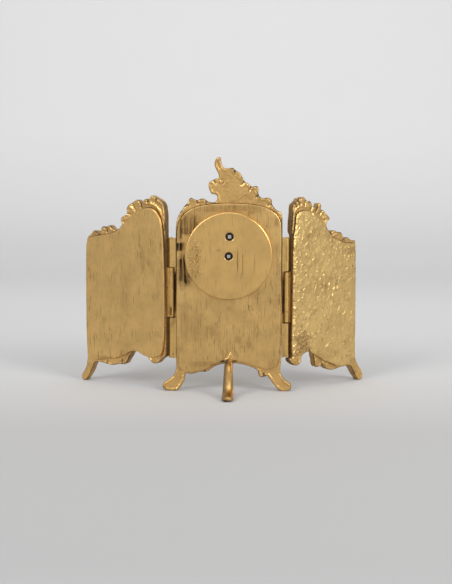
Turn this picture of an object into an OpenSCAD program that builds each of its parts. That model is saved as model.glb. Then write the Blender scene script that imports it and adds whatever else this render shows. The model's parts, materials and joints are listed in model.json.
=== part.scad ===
// Screen clock: a gilt-brass desk clock in the form of a three-leaf folding screen.
// The dial faces -Y and the flat backs of the leaves face +Y. +X is the right of a person facing the dial.
// The origin is on the table, under the middle of the centre leaf, where casting and back plate meet.

/* [Leaves] */
// Width of the centre leaf
centre_w = 59.8; // [59.4:0.2:62]
// Height from the table to the tip of the crest
screen_h = 132; // [129:1:136]
// Reach of the right wing from its hinge axis
right_wing_w = 58.9; // [54:0.1:62]
// Reach of the left wing from its hinge axis
left_wing_w = 51.9; // [48:0.1:55]
// Thickness of the frame castings
casting_t = 4; // [3.6:0.1:4.4]
// Thickness of the back plates
plate_t = 1.6; // [1.2:0.1:2]
// Height of the raised moulding round each window
moulding_h = 1; // [0.6:0.1:1.4]
// Thickness of the pressed front panels
panel_t = 0.6; // [0.4:0.1:1]
// Fold of the right wing as it stands, from flat
right_fold = 30; // [10:1:60]
// Fold of the left wing as it stands, from flat
left_fold = 40; // [10:1:60]

/* [Hinges] */
// Diameter of a hinge pin
hinge_pin_d = 1.2; // [1:0.1:1.4]
// Diameter of a hinge barrel
knuckle_d = 3; // [2.8:0.1:3.4]
// Thickness of a hinge strip
strip_t = 1; // [0.8:0.1:1.2]
// Gap between two knuckles
knuckle_gap = 0.15; // [0.1:0.05:0.3]

/* [Strut] */
// How far the strut reaches behind the back plate
strut_reach = 30.5; // [26:0.5:36]
// Width of the strut where it meets the back plate
strut_neck_w = 4.4; // [3:0.1:5]
// Width of the strut at its toe
strut_toe_w = 6.4; // [5:0.1:8]

/* [Case] */
// Outside diameter of the movement drum
drum_d = 45.2; // [44.8:0.1:46]
// Wall of the movement drum
drum_wall = 0.7; // [0.6:0.05:0.8]
// Width of the seat ring that the rear cover presses onto
seat_w = 0.9; // [0.7:0.1:1.4]
// How far the rear cover stands behind the back plate
cover_h = 5; // [4.9:0.1:6]
// Thickness of the rear cover
cover_t = 0.75; // [0.6:0.05:0.8]
// Width of the bezel, outside the drum
bezel_w = 3.6; // [3.2:0.1:4.2]
// Diameter of the winding hole
winding_hole_d = 4.9; // [4.4:0.1:5.4]
// Diameter of the hand-setting hole
setting_hole_d = 4.8; // [4.4:0.1:5.4]

/* [Movement] */
// Gap between the two movement plates
plate_gap = 7.6; // [7.5:0.1:8]
// Thickness of a movement plate
movement_plate_t = 1.2; // [1.1:0.05:1.3]
// Width across the winding square
winding_square = 2; // [1.8:0.1:2.1]
// Width across the hand-setting square
setting_square = 1.9; // [1.8:0.1:2]

/* [Dial] */
// Thickness of the dial
dial_t = 0.8; // [0.6:0.1:0.9]
// Length of the minute hand
minute_hand_l = 16; // [14:0.5:17.5]
// Length of the hour hand
hour_hand_l = 10.6; // [9:0.2:12]
// Time that the hands show, in minutes after twelve
shown_minutes = 610; // [0:1:719]

/* [Hidden] */
$fn = 64;

// Clearances: between a pin and its hole, between a pressed piece and its seat, round a window's panel
run_gap = 0.05;
press_gap = 0.02;
panel_gap = 0.1;

// Leaf sizes. Outlines below are drawn at 59.8 x 132 and stretched by these.
half_w = centre_w / 2;
kx = centre_w / 59.8;
kz = screen_h / 132;
knuckle_r = knuckle_d / 2;
// Hinge axes: beside the centre leaf's edge, a little behind the front face
axis_x = half_w + strip_t + knuckle_r;
axis_y = knuckle_r - casting_t;
// Where a wing's casting starts, measured outward from its hinge axis
wing_edge = knuckle_r + strip_t + 0.1;

// Movement: centre of the drum, and the planes of the two plates
centre_z = 77.3 * kz;
drum_r = drum_d / 2;
drum_in_r = drum_r - drum_wall;
drum_hole_r = drum_r + 0.15;
front_in = -casting_t - 1.4;
rear_in = front_in + plate_gap;
front_face = front_in - movement_plate_t;
rear_face = rear_in + movement_plate_t;
front_plate_r = drum_in_r - 0.2;
rear_plate_r = front_plate_r - 0.6;
cover_back = plate_t + cover_h;
seat_r = drum_hole_r + run_gap + seat_w;
cover_r = seat_r + run_gap + cover_t;
drum_front = front_face - 1.4;
dial_face = drum_front - dial_t;
flange_t = 0.8;
bezel_r = drum_r + bezel_w;
flange_r = bezel_r - 0.8;
dial_r = drum_in_r - 0.3;

// Arbor places in the movement, from the drum's centre as [x, z]
function polar(r, a) = [r * cos(a), r * sin(a)];
// The train is laid out for a front plate of radius 21.7, and keeps its proportions with the plate.
train_k = front_plate_r / 21.7;
barrel_distance = 10.92 * train_k;
third_distance = 9.36 * train_k;
fourth_distance = 8.16 * train_k;
escape_distance = 6.96 * train_k;
motion_distance = 6 * train_k;
barrel_angle = 92.6;
third_angle = 227.6;
barrel_at = polar(barrel_distance, barrel_angle);
third_at = polar(third_distance, third_angle);
fourth_angle = -30;
fourth_at = third_at + polar(fourth_distance, fourth_angle);
escape_angle = 20;
escape_at = fourth_at + polar(escape_distance, escape_angle);
balance_at = [11.3, 1] * train_k;
motion_angle = 0;
motion_at = polar(motion_distance, motion_angle);
pillar_at = [for (q = [[-15.5, 6], [16.5, 9], [-13, -14], [13.5, -13.5]]) q * train_k];
pillar_r = 1.4;
clamp_angles = [150, -62];
foot_angles = [200, 330];
foot_ring_r = 16 * train_k;

// Tooth counts
barrel_teeth = 64;
centre_leaves = 8;
centre_teeth = 64;
third_leaves = 8;
third_teeth = 60;
fourth_leaves = 8;
fourth_teeth = 56;
escape_leaves = 7;
escape_teeth = 15;
cannon_leaves = 12;
minute_teeth = 36;
minute_leaves = 10;
hour_teeth = 40;
ratchet_teeth = 24;

// Levels in the movement, from front to back
barrel_front = front_in + 0.2;
barrel_back = rear_in - 1.3;
barrel_r = 9.2 * train_k;
centre_wheel_back = rear_in - 0.4;
third_wheel_back = rear_in - 3.2;
fourth_wheel_back = front_in + 2.6;
balance_wheel_back = rear_in - 1.3;
escape_wheel_back = balance_wheel_back - 0.9;
wheel_t = 0.4;
arbor_r = 0.55;
pivot_r = 0.3;
escape_r = 3.6 * train_k;
balance_r = 5.2 * train_k;
ratchet_r = 4.6 * train_k;
winding_pivot_r = 1.5;
setting_pivot_r = 1.4;
cannon_r = 1.05;
hour_pipe_r = 1.6;

// Lays a flat outline drawn in x and z as a slab of thickness t, whose rear face is at y = rear
module slab(rear, t) {
  translate([0, rear, 0]) rotate([90, 0, 0]) linear_extrude(t) children();
}
// A round bar along Y, from y = front to y = rear, centred on [x, z]
module bar(at, r, front, rear) {
  translate([at[0], rear, at[1]]) rotate([90, 0, 0]) cylinder(r = r, h = rear - front);
}
// A square bar along Y
module square_bar(at, w, front, rear) {
  translate([at[0] - w / 2, front, at[1] - w / 2]) cube([w, rear - front, w]);
}
// Puts children drawn round the drum's centre in place
module in_drum() {
  translate([0, 0, centre_z]) children();
}
// Turns a profile of [radius, y] round the drum's axis
module turned(profile) {
  rotate([-90, 0, 0]) rotate_extrude() polygon(profile);
}
// Cuts each corner of a closed outline once, at a quarter of its two sides
function cut(p) = [for (i = [0 : len(p) - 1], k = [0.25, 0.75])
  p[i] * (1 - k) + p[(i + 1) % len(p)] * k];
// Moves each point of an outline toward a middle point by d
function shrink(p, middle, d) = [for (q = p) q - d * (q - middle) / norm(q - middle)];
// Stretches the centre leaf's outline to the leaf's size
function leaf(p) = [for (q = p) [q[0] * kx, q[1] * kz]];
// Stretches a wing's outline, keeping its inner edge beside the hinge
function wing(p, w, drawn_w) = [for (q = p)
  [wing_edge + (q[0] - 2.6) * (w - wing_edge) / (drawn_w - 2.6), q[1] * kz]];
// Points on an arc round [0, 0]
function arc(r, a0, a1, n) = [for (i = [0 : n]) polar(r, a0 + (a1 - a0) * i / n)];

// Places a wing: u along the wing, v behind the hinge axis
module place_right(fold) {
  translate([axis_x, axis_y, 0]) rotate([0, 0, -fold]) children();
}
module place_left(fold) {
  translate([-axis_x, axis_y, 0]) rotate([0, 0, fold]) mirror([1, 0, 0]) children();
}

// Outline of the centre casting: two splayed feet, straight sides, shoulder leaves and a lopsided crest
centre_outline = leaf([[24.8, 10.5], [25, 7], [26.2, 4], [28, 1.6], [29.8, 0], [35.4, 0], [37.6, 1.5],
  [37.9, 3.7], [36, 5.4], [33.2, 6.9], [31, 9.3], [29.9, 12.5], [29.9, 20], [29.9, 90],
  [29.6, 95], [28.8, 98.5], [28, 100], [27, 102], [25.5, 103.5], [25, 105], [23.5, 106], [22.5, 107.5],
  [21.8, 109.8], [20, 108.8], [18.5, 108.2], [17, 108.2], [15.8, 109], [14, 109], [13, 108], [10.5, 106.8],
  [7.5, 107], [6.5, 108.5], [6.4, 110.5], [7.5, 111.4], [9.5, 111.5], [10.7, 113], [11.4, 115.5],
  [11.3, 117.5], [10.4, 118.9], [8.8, 119], [8.2, 120.1], [6, 120], [5.6, 121], [5.8, 123], [7, 125],
  [7.9, 127], [8.1, 129], [7.4, 131], [6.2, 132], [4.5, 132], [4.5, 130], [4, 128], [3.2, 126.3],
  [2, 125.8], [0, 126], [-2.5, 126.2], [-3.5, 124.8], [-5.5, 123.9], [-7, 122], [-8, 119.5], [-9, 118.1],
  [-10.5, 117.8], [-12, 116], [-13, 115.5], [-14.5, 116.1], [-16, 115.9], [-16.6, 114.5], [-16.2, 112],
  [-16.8, 110.5], [-18, 109.5], [-19.5, 109.1], [-21, 109.7], [-22.9, 109.3], [-24.1, 108],
  [-23.8, 106.5], [-24.5, 105], [-25.5, 103.5], [-27, 102.3], [-29, 101.5], [-29.9, 99.5], [-29.9, 90],
  [-29.9, 20], [-28.9, 13], [-29.4, 9.5], [-31, 7], [-33, 5.4], [-35.3, 4.2], [-35.4, 1.5], [-33.8, 0],
  [-29.2, 0], [-27.5, 1.5], [-26, 3], [-24, 5.6], [-22.3, 8.5], [-21, 8.8], [-19, 7.9], [-17, 8.3],
  [-16.5, 12], [-14, 13.3], [-10, 14.8], [-6, 15.8], [0, 16], [5, 15.4], [9, 13.8], [11.2, 11.6],
  [14, 10.8], [17, 11.1], [20, 9.8], [23, 9.7]]);
// Outline of the centre back plate
centre_plate_outline = leaf([[29.4, 18], [28.8, 15], [27, 12.5], [24.5, 11], [22, 10.6], [18, 11], [15, 12],
  [12, 13], [10, 14.5], [8, 15.8], [5, 16.7], [0, 17.3], [-4, 17.3], [-8, 16.8], [-12, 15.5], [-16, 14.2],
  [-20, 12.8], [-23, 12.7], [-26, 13.8], [-27.5, 16.5], [-28.6, 20], [-29.2, 50], [-29.5, 92], [-28.8, 97],
  [-27, 100], [-24, 102.5], [-20, 104.4], [-16, 105.4], [-10, 106.1], [0, 106.5], [10, 106], [16, 105.1],
  [20, 103.8], [24, 101.6], [27, 98], [28.6, 94], [29.3, 88]]);
// Window for the centre panel, under the dial
centre_window = cut(leaf([[-23.5, 24], [-20, 20.5], [20, 20.5], [23.5, 24], [23.5, 58], [21, 61],
  [-21, 61], [-23.5, 58]]));
centre_window_middle = [0, 40 * kz];
window_arch_r = bezel_r + 1.4;

// Outlines of the right wing, as [u, z] from its hinge axis
right_outline = wing([[2.8, 19.3], [5, 18.2], [6.4, 16.6], [8.1, 15], [10.4, 14.5], [12.6, 15],
  [13.9, 16.6], [15.4, 17.9], [18.3, 19.4], [21.5, 20.6], [24.5, 20.8], [26.8, 19.2], [28.2, 17],
  [29.2, 15], [30.4, 12.9], [32.8, 11.9], [35, 12.2], [37.8, 11.5], [41, 10.7], [44.5, 11.2],
  [48.3, 11.9], [51.6, 12.2], [53.8, 11.2], [55, 8.8], [56.2, 6], [57.9, 3], [59.3, 1], [60.2, 0],
  [62.4, 0], [63.5, 1.8], [62.9, 3.8], [61.3, 5.7], [59.9, 8], [59.1, 10.8], [58.7, 14], [58.7, 18],
  [58.9, 40], [58.8, 70], [58.2, 82.5], [57.6, 85.4], [56, 86.6], [54.8, 87.1], [53.9, 88.6],
  [52.6, 89.4], [51.3, 89], [50.4, 87.8], [49.2, 87.4], [48.2, 88.2], [47.9, 89.8], [47.2, 91.4],
  [45.8, 92.1], [44.4, 91.3], [43.2, 91.5], [41.9, 92.8], [40.6, 92.5], [39.4, 91], [38, 90.2],
  [36.4, 90.2], [34.6, 91.1], [33, 92.9], [32.5, 94.2], [33.5, 95.6], [33.2, 97.3], [31.5, 98.4],
  [29.8, 98.9], [28.9, 100.2], [29.3, 102], [28.9, 103.8], [27.4, 105.2], [25.5, 106], [23.5, 107.2],
  [21.6, 108.1], [20.2, 107.2], [19, 105.5], [18.1, 106.2], [17.2, 107.8], [15.8, 108.8], [14.4, 107.9],
  [13.2, 108.1], [13, 109.7], [12, 110.6], [10.4, 110.1], [8.6, 109.2], [6.2, 108.2], [4.7, 107],
  [3.6, 105.4], [3, 103], [2.6, 100], [2.6, 95], [2.6, 24]],
  right_wing_w, 58.9);
right_plate_outline = wing([[58.3, 20], [56.8, 16], [54.3, 14.3], [51.3, 13.3], [44.7, 14.4],
  [37.6, 15.4], [33.5, 17], [30.5, 18.1], [27.4, 20.2], [23.9, 21.2], [20.8, 20.6], [17.3, 18.9],
  [13.4, 18.2], [10.1, 18.2], [7.7, 19], [4.8, 20.2], [3.4, 26], [2.7, 32], [2.6, 50], [3, 80],
  [3.7, 90], [4.5, 95.5], [5.2, 97.8], [6.3, 99.8], [8.1, 102], [10.6, 103.2], [13.7, 103.6],
  [17.3, 103.1], [20.3, 101.6], [24.4, 98.6], [30.5, 93.6], [34.6, 90.2], [38.6, 88.4], [42.7, 87.6],
  [46.8, 86.9], [52.9, 85.8], [55.9, 84.8], [57.3, 82.5], [57.9, 76]],
  right_wing_w, 58.9);
right_window = cut(wing([[8.6, 30], [10.1, 26.5], [26.4, 26.5], [34.6, 21.5], [49.8, 19.5], [52.4, 23],
  [52.9, 76], [50.9, 79.5], [40.7, 82], [30.5, 88], [21.3, 95], [12.2, 96.5], [8.6, 92]],
  right_wing_w, 58.9));
right_middle = [30.5 * right_wing_w / 58.9, 55 * kz];

// Outlines of the left wing, as [u, z] from its hinge axis
left_outline = wing([[2.7, 18.6], [1.2, 19], [0.2, 18.2], [0.9, 16.8], [2.8, 15.2], [5.4, 13.9],
  [7.8, 14.4], [9.2, 16], [9.2, 18], [10.1, 19.8], [12.8, 21], [16.4, 21.5], [18.8, 20.2], [19.4, 17],
  [19.5, 14], [20.4, 12], [21.9, 11.2], [23.9, 11.7], [25.6, 12.8], [26.9, 11.2], [29, 9.7],
  [31.5, 8.7], [34.3, 8.4], [37, 8.9], [40.2, 9.4], [43.4, 9.6], [46.4, 10], [48.6, 9], [50.2, 6.8],
  [51.6, 4.6], [53.2, 2], [54.4, 0], [57.2, 0], [58.4, 1.6], [58.4, 3.4], [57.4, 5.4], [55.4, 8],
  [53.4, 10.8], [52.1, 13.6], [51.9, 18], [51.9, 50], [51.5, 80], [51, 83.4], [49.8, 83.4], [48, 83.3],
  [46.4, 84.5], [44.6, 85.6], [43, 85.3], [41.8, 84.5], [41.2, 85.8], [40.6, 87.6], [39.2, 88.9],
  [37.4, 88.6], [35.8, 89.2], [33.8, 90.1], [32.2, 89.4], [31, 88.5], [29.5, 90.2], [28.3, 92],
  [27.8, 93.8], [28.2, 95.2], [30.3, 96], [30.8, 97.1], [29.2, 98.4], [27.4, 99.8], [25.6, 101.8],
  [23.3, 102.4], [23.9, 104.2], [23.1, 106], [21.5, 105.8], [20.7, 103.2], [19, 103.4], [17.1, 104],
  [16.4, 106], [15, 107.6], [13.6, 106.7], [12, 108.3], [10.6, 109.7], [9, 109.7], [8, 108.3],
  [6.7, 109.4], [5.6, 107.6], [4.2, 106.5], [3, 106], [2.3, 104.6], [2.2, 101.6], [2, 98.6],
  [1.6, 96.3], [1.4, 92], [1.7, 89.4], [2.7, 88.6], [2.6, 84], [2.6, 22]],
  left_wing_w, 51.9);
left_plate_outline = wing([[50.9, 20], [50.5, 15], [49.3, 13], [47.6, 11.8], [45.4, 10.8], [42.7, 10.1],
  [39.7, 10.1], [36.1, 10.9], [32.2, 12.5], [28.9, 13.8], [26.4, 14.6], [24.4, 16.1], [21.3, 17.7],
  [18.8, 19.2], [16.2, 21], [14.4, 21.7], [12.2, 21.2], [10.1, 20.5], [7.7, 19.9], [5, 19.7],
  [2.4, 19.9], [1.6, 22], [1.4, 30], [2, 45], [2, 75], [2.4, 87], [3.2, 90.8], [3.9, 94.6], [4, 97.4],
  [4.6, 99.8], [6.1, 101.1], [8.1, 101.9], [10.6, 102.2], [13.7, 101.9], [16.2, 101], [18.5, 99.7],
  [22.4, 96.3], [26.4, 92.2], [30.3, 87.7], [32.5, 86], [35.6, 84.9], [39.7, 83], [43.2, 82.3],
  [46.8, 82], [49.3, 81.6], [50.1, 78], [50.3, 60]],
  left_wing_w, 51.9);
left_window = cut(wing([[7.1, 30], [8.6, 27], [16.2, 27], [23.4, 21.5], [33.6, 16.8], [43.8, 16.6],
  [46.3, 20], [46.6, 72], [44.3, 75.5], [34.6, 79], [25.9, 87], [17.3, 94.6], [9.6, 94.5], [7.1, 90]],
  left_wing_w, 51.9));
left_middle = [26.5 * left_wing_w / 51.9, 53 * kz];

// A scroll of the crest's raised relief
crest_relief = leaf([[2, 108], [5, 109.5], [8, 113], [9.6, 115.6], [9, 117.2], [6.8, 117.8], [4.4, 120.8],
  [5.2, 124.6], [6.6, 128], [6, 130.4], [4.6, 126.4], [1.6, 123.6], [-2.4, 124], [-5.6, 121.6],
  [-7, 117.6], [-10, 115.4], [-13.6, 114.2], [-14.8, 112], [-12, 110], [-6, 108.2]]);

// Casting with its window and the raised moulding round the window
module casting(outline, window, middle, rear) {
  slab(rear, casting_t) difference() {
    polygon(cut(outline));
    polygon(window);
  }
  slab(rear - casting_t, moulding_h) difference() {
    polygon(shrink(window, middle, -2));
    polygon(window);
  }
}

rosette_at = leaf([[4.4, 118.4]])[0];
module centre_frame() {
  color("goldenrod") difference() {
    union() {
      slab(0, casting_t) difference() {
        polygon(cut(centre_outline));
        difference() {
          polygon(centre_window);
          translate([0, centre_z]) circle(r = window_arch_r);
        }
        translate([0, centre_z]) circle(r = drum_hole_r);
      }
      slab(-casting_t, moulding_h) difference() {
        polygon(shrink(centre_window, centre_window_middle, -2));
        polygon(centre_window);
        translate([0, centre_z]) circle(r = window_arch_r);
      }
      slab(-casting_t, moulding_h) difference() {
        polygon(cut(crest_relief));
        translate(rosette_at) circle(r = 2.8);
        translate([0, centre_z]) circle(r = window_arch_r);
      }
    }
    bar(rosette_at, rivet_r + press_gap, -casting_t - 2, 2);
    in_drum() for (a = flange_screw_angles)
      bar(polar(flange_screw_ring_r, a), 0.5 + press_gap, -casting_t - 1, -1.6);
  }
}
module centre_back_plate() {
  color("darkgoldenrod") slab(plate_t, plate_t) difference() {
    polygon(cut(centre_plate_outline));
    translate([0, centre_z]) circle(r = drum_hole_r);
  }
}
module centre_panel() {
  color("gold") slab(0, panel_t) difference() {
    polygon(shrink(centre_window, centre_window_middle, panel_gap));
    translate([0, centre_z]) circle(r = window_arch_r + panel_gap);
  }
}

rivet_r = 0.6;
// Rosette on the crest's front, held by a rivet whose end is peened behind
module crest_rosette() {
  color("gold") {
    for (k = [0 : 4])
      bar(rosette_at + polar(1.4, 90 + 72 * k), 1.1, -casting_t - 1.2, -casting_t);
    bar(rosette_at, 0.9, -casting_t - 1.8, -casting_t);
    bar(rosette_at, rivet_r, -casting_t - 0.1, 0.1);
    bar(rosette_at, 1, 0, 0.3);
  }
}

// Strut: an S-shaped leg from the back plate down to the table, wider at its toe
strut_drawn = 30.5;
module rear_strut() {
  ky = strut_reach / strut_drawn;
  side = [for (q = [[0, 18.6], [3, 18.8], [7, 18], [11, 15.2], [14.2, 11], [17.4, 6.8], [21, 4], [25, 3],
    [29, 3.2], [30.5, 2.2], [30.3, 0.6], [28.6, 0], [23.4, 0], [18.6, 1.2], [14.4, 4.4], [11.2, 8.6],
    [8.4, 12], [5.4, 14], [2.6, 14.2], [0, 13.2]]) [plate_t + q[0] * ky, q[1] * kz]];
  plan = [for (q = [[0, 0], [7, 0.15], [15, 0.6], [22, 1], [28, 0.95], [29.8, 0.7], [30.5, 0.2]])
    [strut_neck_w / 2 + (strut_toe_w - strut_neck_w) / 2 * q[1], plate_t + q[0] * ky]];
  outline = concat(plan, [for (i = [len(plan) - 1 : -1 : 0]) [-plan[i][0], plan[i][1]]]);
  color("goldenrod") intersection() {
    rotate([90, 0, 90]) translate([0, 0, -strut_toe_w]) linear_extrude(2 * strut_toe_w) polygon(cut(side));
    linear_extrude(40 * kz) polygon(cut(outline));
  }
}

// Hinge levels: the two ends of the barrel and the two joints between its knuckles
right_levels = [18.8 * kz, 42 * kz, 70.3 * kz, 87 * kz];
left_levels = [19.5 * kz, 39 * kz, 68 * kz, 87.3 * kz];
web_t = 1;

// A knuckle with the web that joins it to a strip (side is -1 toward the centre leaf, 1 toward the wing).
// The web is level with the knuckle's back, as where a strip is rolled round its pin.
module held_knuckle(z0, z1, bore_r, side) {
  reach = knuckle_r + 0.4;
  difference() {
    union() {
      translate([0, 0, z0]) cylinder(r = knuckle_r, h = z1 - z0);
      translate([side > 0 ? 0 : -reach, -web_t / 2, z0])
        cube([reach, web_t / 2 + 0.97 * knuckle_r, z1 - z0]);
    }
    translate([0, 0, z0 - 1]) cylinder(r = bore_r, h = z1 - z0 + 2);
  }
}
// Fixed half of a hinge: a strip on the centre leaf's edge with the upper and lower knuckles.
// Beside the middle knuckle the strip is only a thin bridge, which leaves a slot behind it.
// The bridge has a low lip under the knuckle, so that no light shows through the slot.
module centre_hinge(levels) {
  half_gap = knuckle_gap / 2;
  lip_w = 0.15;
  lip_h = 0.45;
  held_knuckle(levels[0], levels[1] - half_gap, hinge_pin_d / 2 + press_gap, -1);
  held_knuckle(levels[2] + half_gap, levels[3], hinge_pin_d / 2 + press_gap, -1);
  difference() {
    translate([-knuckle_r - strip_t, -axis_y - casting_t, levels[0]])
      cube([strip_t, casting_t, levels[3] - levels[0]]);
    translate([-knuckle_r - 0.2, -web_t, levels[1] - half_gap])
      cube([0.4, 2 * web_t, levels[2] - levels[1] + knuckle_gap]);
    translate([-knuckle_r - 1.1 * strip_t, -0.3 * knuckle_r, levels[1] - half_gap])
      cube([1.2 * strip_t, casting_t, levels[2] - levels[1] + knuckle_gap]);
  }
  translate([-knuckle_r - lip_w, -axis_y - casting_t, levels[1] - 2 * half_gap])
    cube([2 * lip_w, lip_h, levels[2] - levels[1] + 2 * knuckle_gap]);
}
// Moving half: a strip on the wing's edge with the middle knuckle, low beside the fixed knuckles
module wing_hinge(levels) {
  half_gap = knuckle_gap / 2;
  held_knuckle(levels[1] + half_gap, levels[2] - half_gap, hinge_pin_d / 2 + run_gap, 1);
  translate([wing_edge - strip_t, -0.8 * knuckle_r, levels[0]])
    cube([strip_t, 0.7 * knuckle_r, levels[3] - levels[0]]);
  translate([wing_edge - strip_t, -0.8 * knuckle_r, levels[1] + half_gap])
    cube([strip_t, 1.77 * knuckle_r, levels[2] - levels[1] - knuckle_gap]);
}
module hinge_pin(levels) {
  translate([0, 0, levels[0] - 0.2]) cylinder(r = hinge_pin_d / 2, h = levels[3] - levels[0] + 0.4);
}

module right_centre_hinge() {
  color("goldenrod") translate([axis_x, axis_y, 0]) centre_hinge(right_levels);
}
module left_centre_hinge() {
  color("goldenrod") translate([-axis_x, axis_y, 0]) mirror([1, 0, 0]) centre_hinge(left_levels);
}
module right_hinge_pin() {
  color("dimgray") translate([axis_x, axis_y, 0]) hinge_pin(right_levels);
}
module left_hinge_pin() {
  color("dimgray") translate([-axis_x, axis_y, 0]) hinge_pin(left_levels);
}
module right_wing_hinge() {
  color("goldenrod") place_right(right_fold) wing_hinge(right_levels);
}
module left_wing_hinge() {
  color("goldenrod") place_left(left_fold) wing_hinge(left_levels);
}

// Wings
module right_wing_frame() {
  color("goldenrod") place_right(right_fold) casting(right_outline, right_window, right_middle, -axis_y);
}
module right_wing_back_plate() {
  color("darkgoldenrod") place_right(right_fold) slab(plate_t - axis_y, plate_t)
    polygon(cut(right_plate_outline));
}
module right_wing_panel() {
  color("gold") place_right(right_fold) slab(-axis_y, panel_t)
    polygon(shrink(right_window, right_middle, panel_gap));
}
module left_wing_frame() {
  color("goldenrod") place_left(left_fold) casting(left_outline, left_window, left_middle, -axis_y);
}
module left_wing_back_plate() {
  color("darkgoldenrod") place_left(left_fold) slab(plate_t - axis_y, plate_t)
    polygon(cut(left_plate_outline));
}
module left_wing_panel() {
  color("gold") place_left(left_fold) slab(-axis_y, panel_t)
    polygon(shrink(left_window, left_middle, panel_gap));
}

// Ring on the back plate that the rear cover presses onto
module cover_seat() {
  color("goldenrod") in_drum() turned([[drum_hole_r + 0.05, plate_t], [seat_r, plate_t],
    [seat_r, cover_back - cover_t - 0.8], [drum_hole_r + 0.05, cover_back - cover_t - 0.8]]);
}
// Shallow cap with a bevelled edge and two countersunk holes
module rear_cover() {
  r = cover_r;
  bevel = 0.4;
  color("goldenrod") in_drum() difference() {
    turned([[0, cover_back], [r - bevel, cover_back], [r, cover_back - bevel], [r, plate_t + run_gap],
      [r - cover_t, plate_t + run_gap], [r - cover_t, cover_back - cover_t], [0, cover_back - cover_t]]);
    bar(barrel_at, winding_hole_d / 2 - 0.4, 0, cover_back + 1);
    bar([0, 0], setting_hole_d / 2 - 0.4, 0, cover_back + 1);
    countersink(barrel_at, winding_hole_d / 2);
    countersink([0, 0], setting_hole_d / 2);
  }
}
module countersink(at, r) {
  translate([at[0], cover_back - 0.4, at[1]]) rotate([-90, 0, 0])
    cylinder(r1 = r - 0.4, r2 = r + 0.1, h = 0.5);
}
flange_screw_angles = [30, 150, 270];
flange_screw_ring_r = (drum_r + flange_r) / 2 + 0.1;
seat_step_w = 0.7;
// Drum that holds the movement, with an outer flange against the leaf's front and an inner step
module movement_drum() {
  color("darkgoldenrod") in_drum() difference() {
    turned([[drum_in_r, drum_front], [drum_r, drum_front], [drum_r, -casting_t - flange_t],
      [flange_r, -casting_t - flange_t], [flange_r, -casting_t], [drum_r, -casting_t],
      [drum_r, rear_face], [drum_in_r, rear_face], [drum_in_r, front_in + 0.8],
      [drum_in_r - seat_step_w + 0.1, front_in + 0.8], [drum_in_r - seat_step_w + 0.1, front_in],
      [drum_in_r, front_in]]);
    for (a = flange_screw_angles)
      bar(polar(flange_screw_ring_r, a), 1, -casting_t - 2, -casting_t + 0.1);
  }
}
module flange_screws() {
  color("steelblue") in_drum() for (a = flange_screw_angles) {
    at = polar(flange_screw_ring_r, a);
    difference() {
      bar(at, 0.95, -casting_t - 0.6, -casting_t);
      translate([at[0] - 1, -casting_t - 0.7, at[1] - 0.1]) cube([2, 0.3, 0.2]);
    }
    bar(at, 0.5, -casting_t, -casting_t + 2.2);
  }
}
bezel_front = dial_face - 1.8;
bezel_seat = dial_face - 1.2;
glass_r = drum_in_r - 0.1;
sight_r = glass_r - 1;
// Bezel: a rounded ring over the drum's front, with a lip that holds the glass
module bezel() {
  ro = bezel_r;
  mid = (bezel_front - casting_t - flange_t) / 2;
  foot = -casting_t - flange_t;
  color("gold") in_drum() turned([[drum_r + run_gap, foot], [ro - 0.6, foot], [ro, foot - 0.5],
    [ro, mid + 0.6], [ro - 0.5, mid - 0.2], [ro - 1.4, mid - 0.8], [ro - 0.6 * bezel_w, bezel_front + 0.5],
    [ro - 0.82 * bezel_w, bezel_front], [sight_r + 0.7, bezel_front], [sight_r, bezel_front + 0.4],
    [sight_r, bezel_seat], [drum_r + run_gap, bezel_seat]]);
}
// Slip ring between the dial and the glass
module sight_ring() {
  color("gold") in_drum() turned([[sight_r - 0.4, dial_face - 0.1], [drum_r - 0.1, dial_face - 0.1],
    [drum_r - 0.1, bezel_seat + 0.5], [sight_r + 0.1, bezel_seat + 0.5]]);
}
// Domed glass: a flat rim and a shallow cap
glass_t = 0.5;
dome_h = 2.4;
module glass() {
  r = sight_r - 0.1;
  sphere_r = (r * r + dome_h * dome_h) / (2 * dome_h);
  a = asin(r / sphere_r);
  outer = [for (i = [0 : 8]) [sphere_r * sin(a * i / 8),
    bezel_seat - dome_h + sphere_r * (1 - cos(a * i / 8))]];
  color("lightcyan", 0.35) in_drum() turned(concat(outer, [[r, bezel_seat], [glass_r, bezel_seat],
    [glass_r, bezel_seat + glass_t - 0.05]],
    [for (i = [8 : -1 : 0]) [outer[i][0] * (r - 0.3) / r, outer[i][1] + glass_t - 0.05]]));
}

// Enamel dial with its two feet
module dial() {
  color("ivory") in_drum() {
    difference() {
      bar([0, 0], dial_r, dial_face, drum_front);
      bar([0, 0], hour_pipe_r + 0.3, dial_face - 1, drum_front + 1);
    }
    for (a = foot_angles) difference() {
      bar(polar(foot_ring_r, a), dial_foot_r, drum_front - 0.1, front_in + 0.8);
      dial_pin(a, pin_r + press_gap);
    }
  }
}
dial_foot_r = 0.6;
pin_r = 0.2;
module dial_pin(a, r) {
  at = polar(foot_ring_r, a);
  translate([at[0] - 1.5, front_in + 0.3, at[1]]) rotate([0, 90, 0]) cylinder(r = r, h = 3);
}
module dial_pins() {
  color("goldenrod") in_drum() for (a = foot_angles) dial_pin(a, pin_r);
}

// Train arbors as a list: place, pivot radius in the front plate, pivot radius in the rear plate
pallet_at = escape_at + (balance_at - escape_at) / norm(balance_at - escape_at) * 4.4 * train_k;
arbor_list = [[third_at, pivot_r, pivot_r], [fourth_at, pivot_r, pivot_r], [escape_at, pivot_r, pivot_r],
  [pallet_at, pivot_r, pivot_r], [barrel_at, 0.9, winding_pivot_r],
  [[0, 0], setting_pivot_r, setting_pivot_r]];
balance_hole_r = 3.6;

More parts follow.
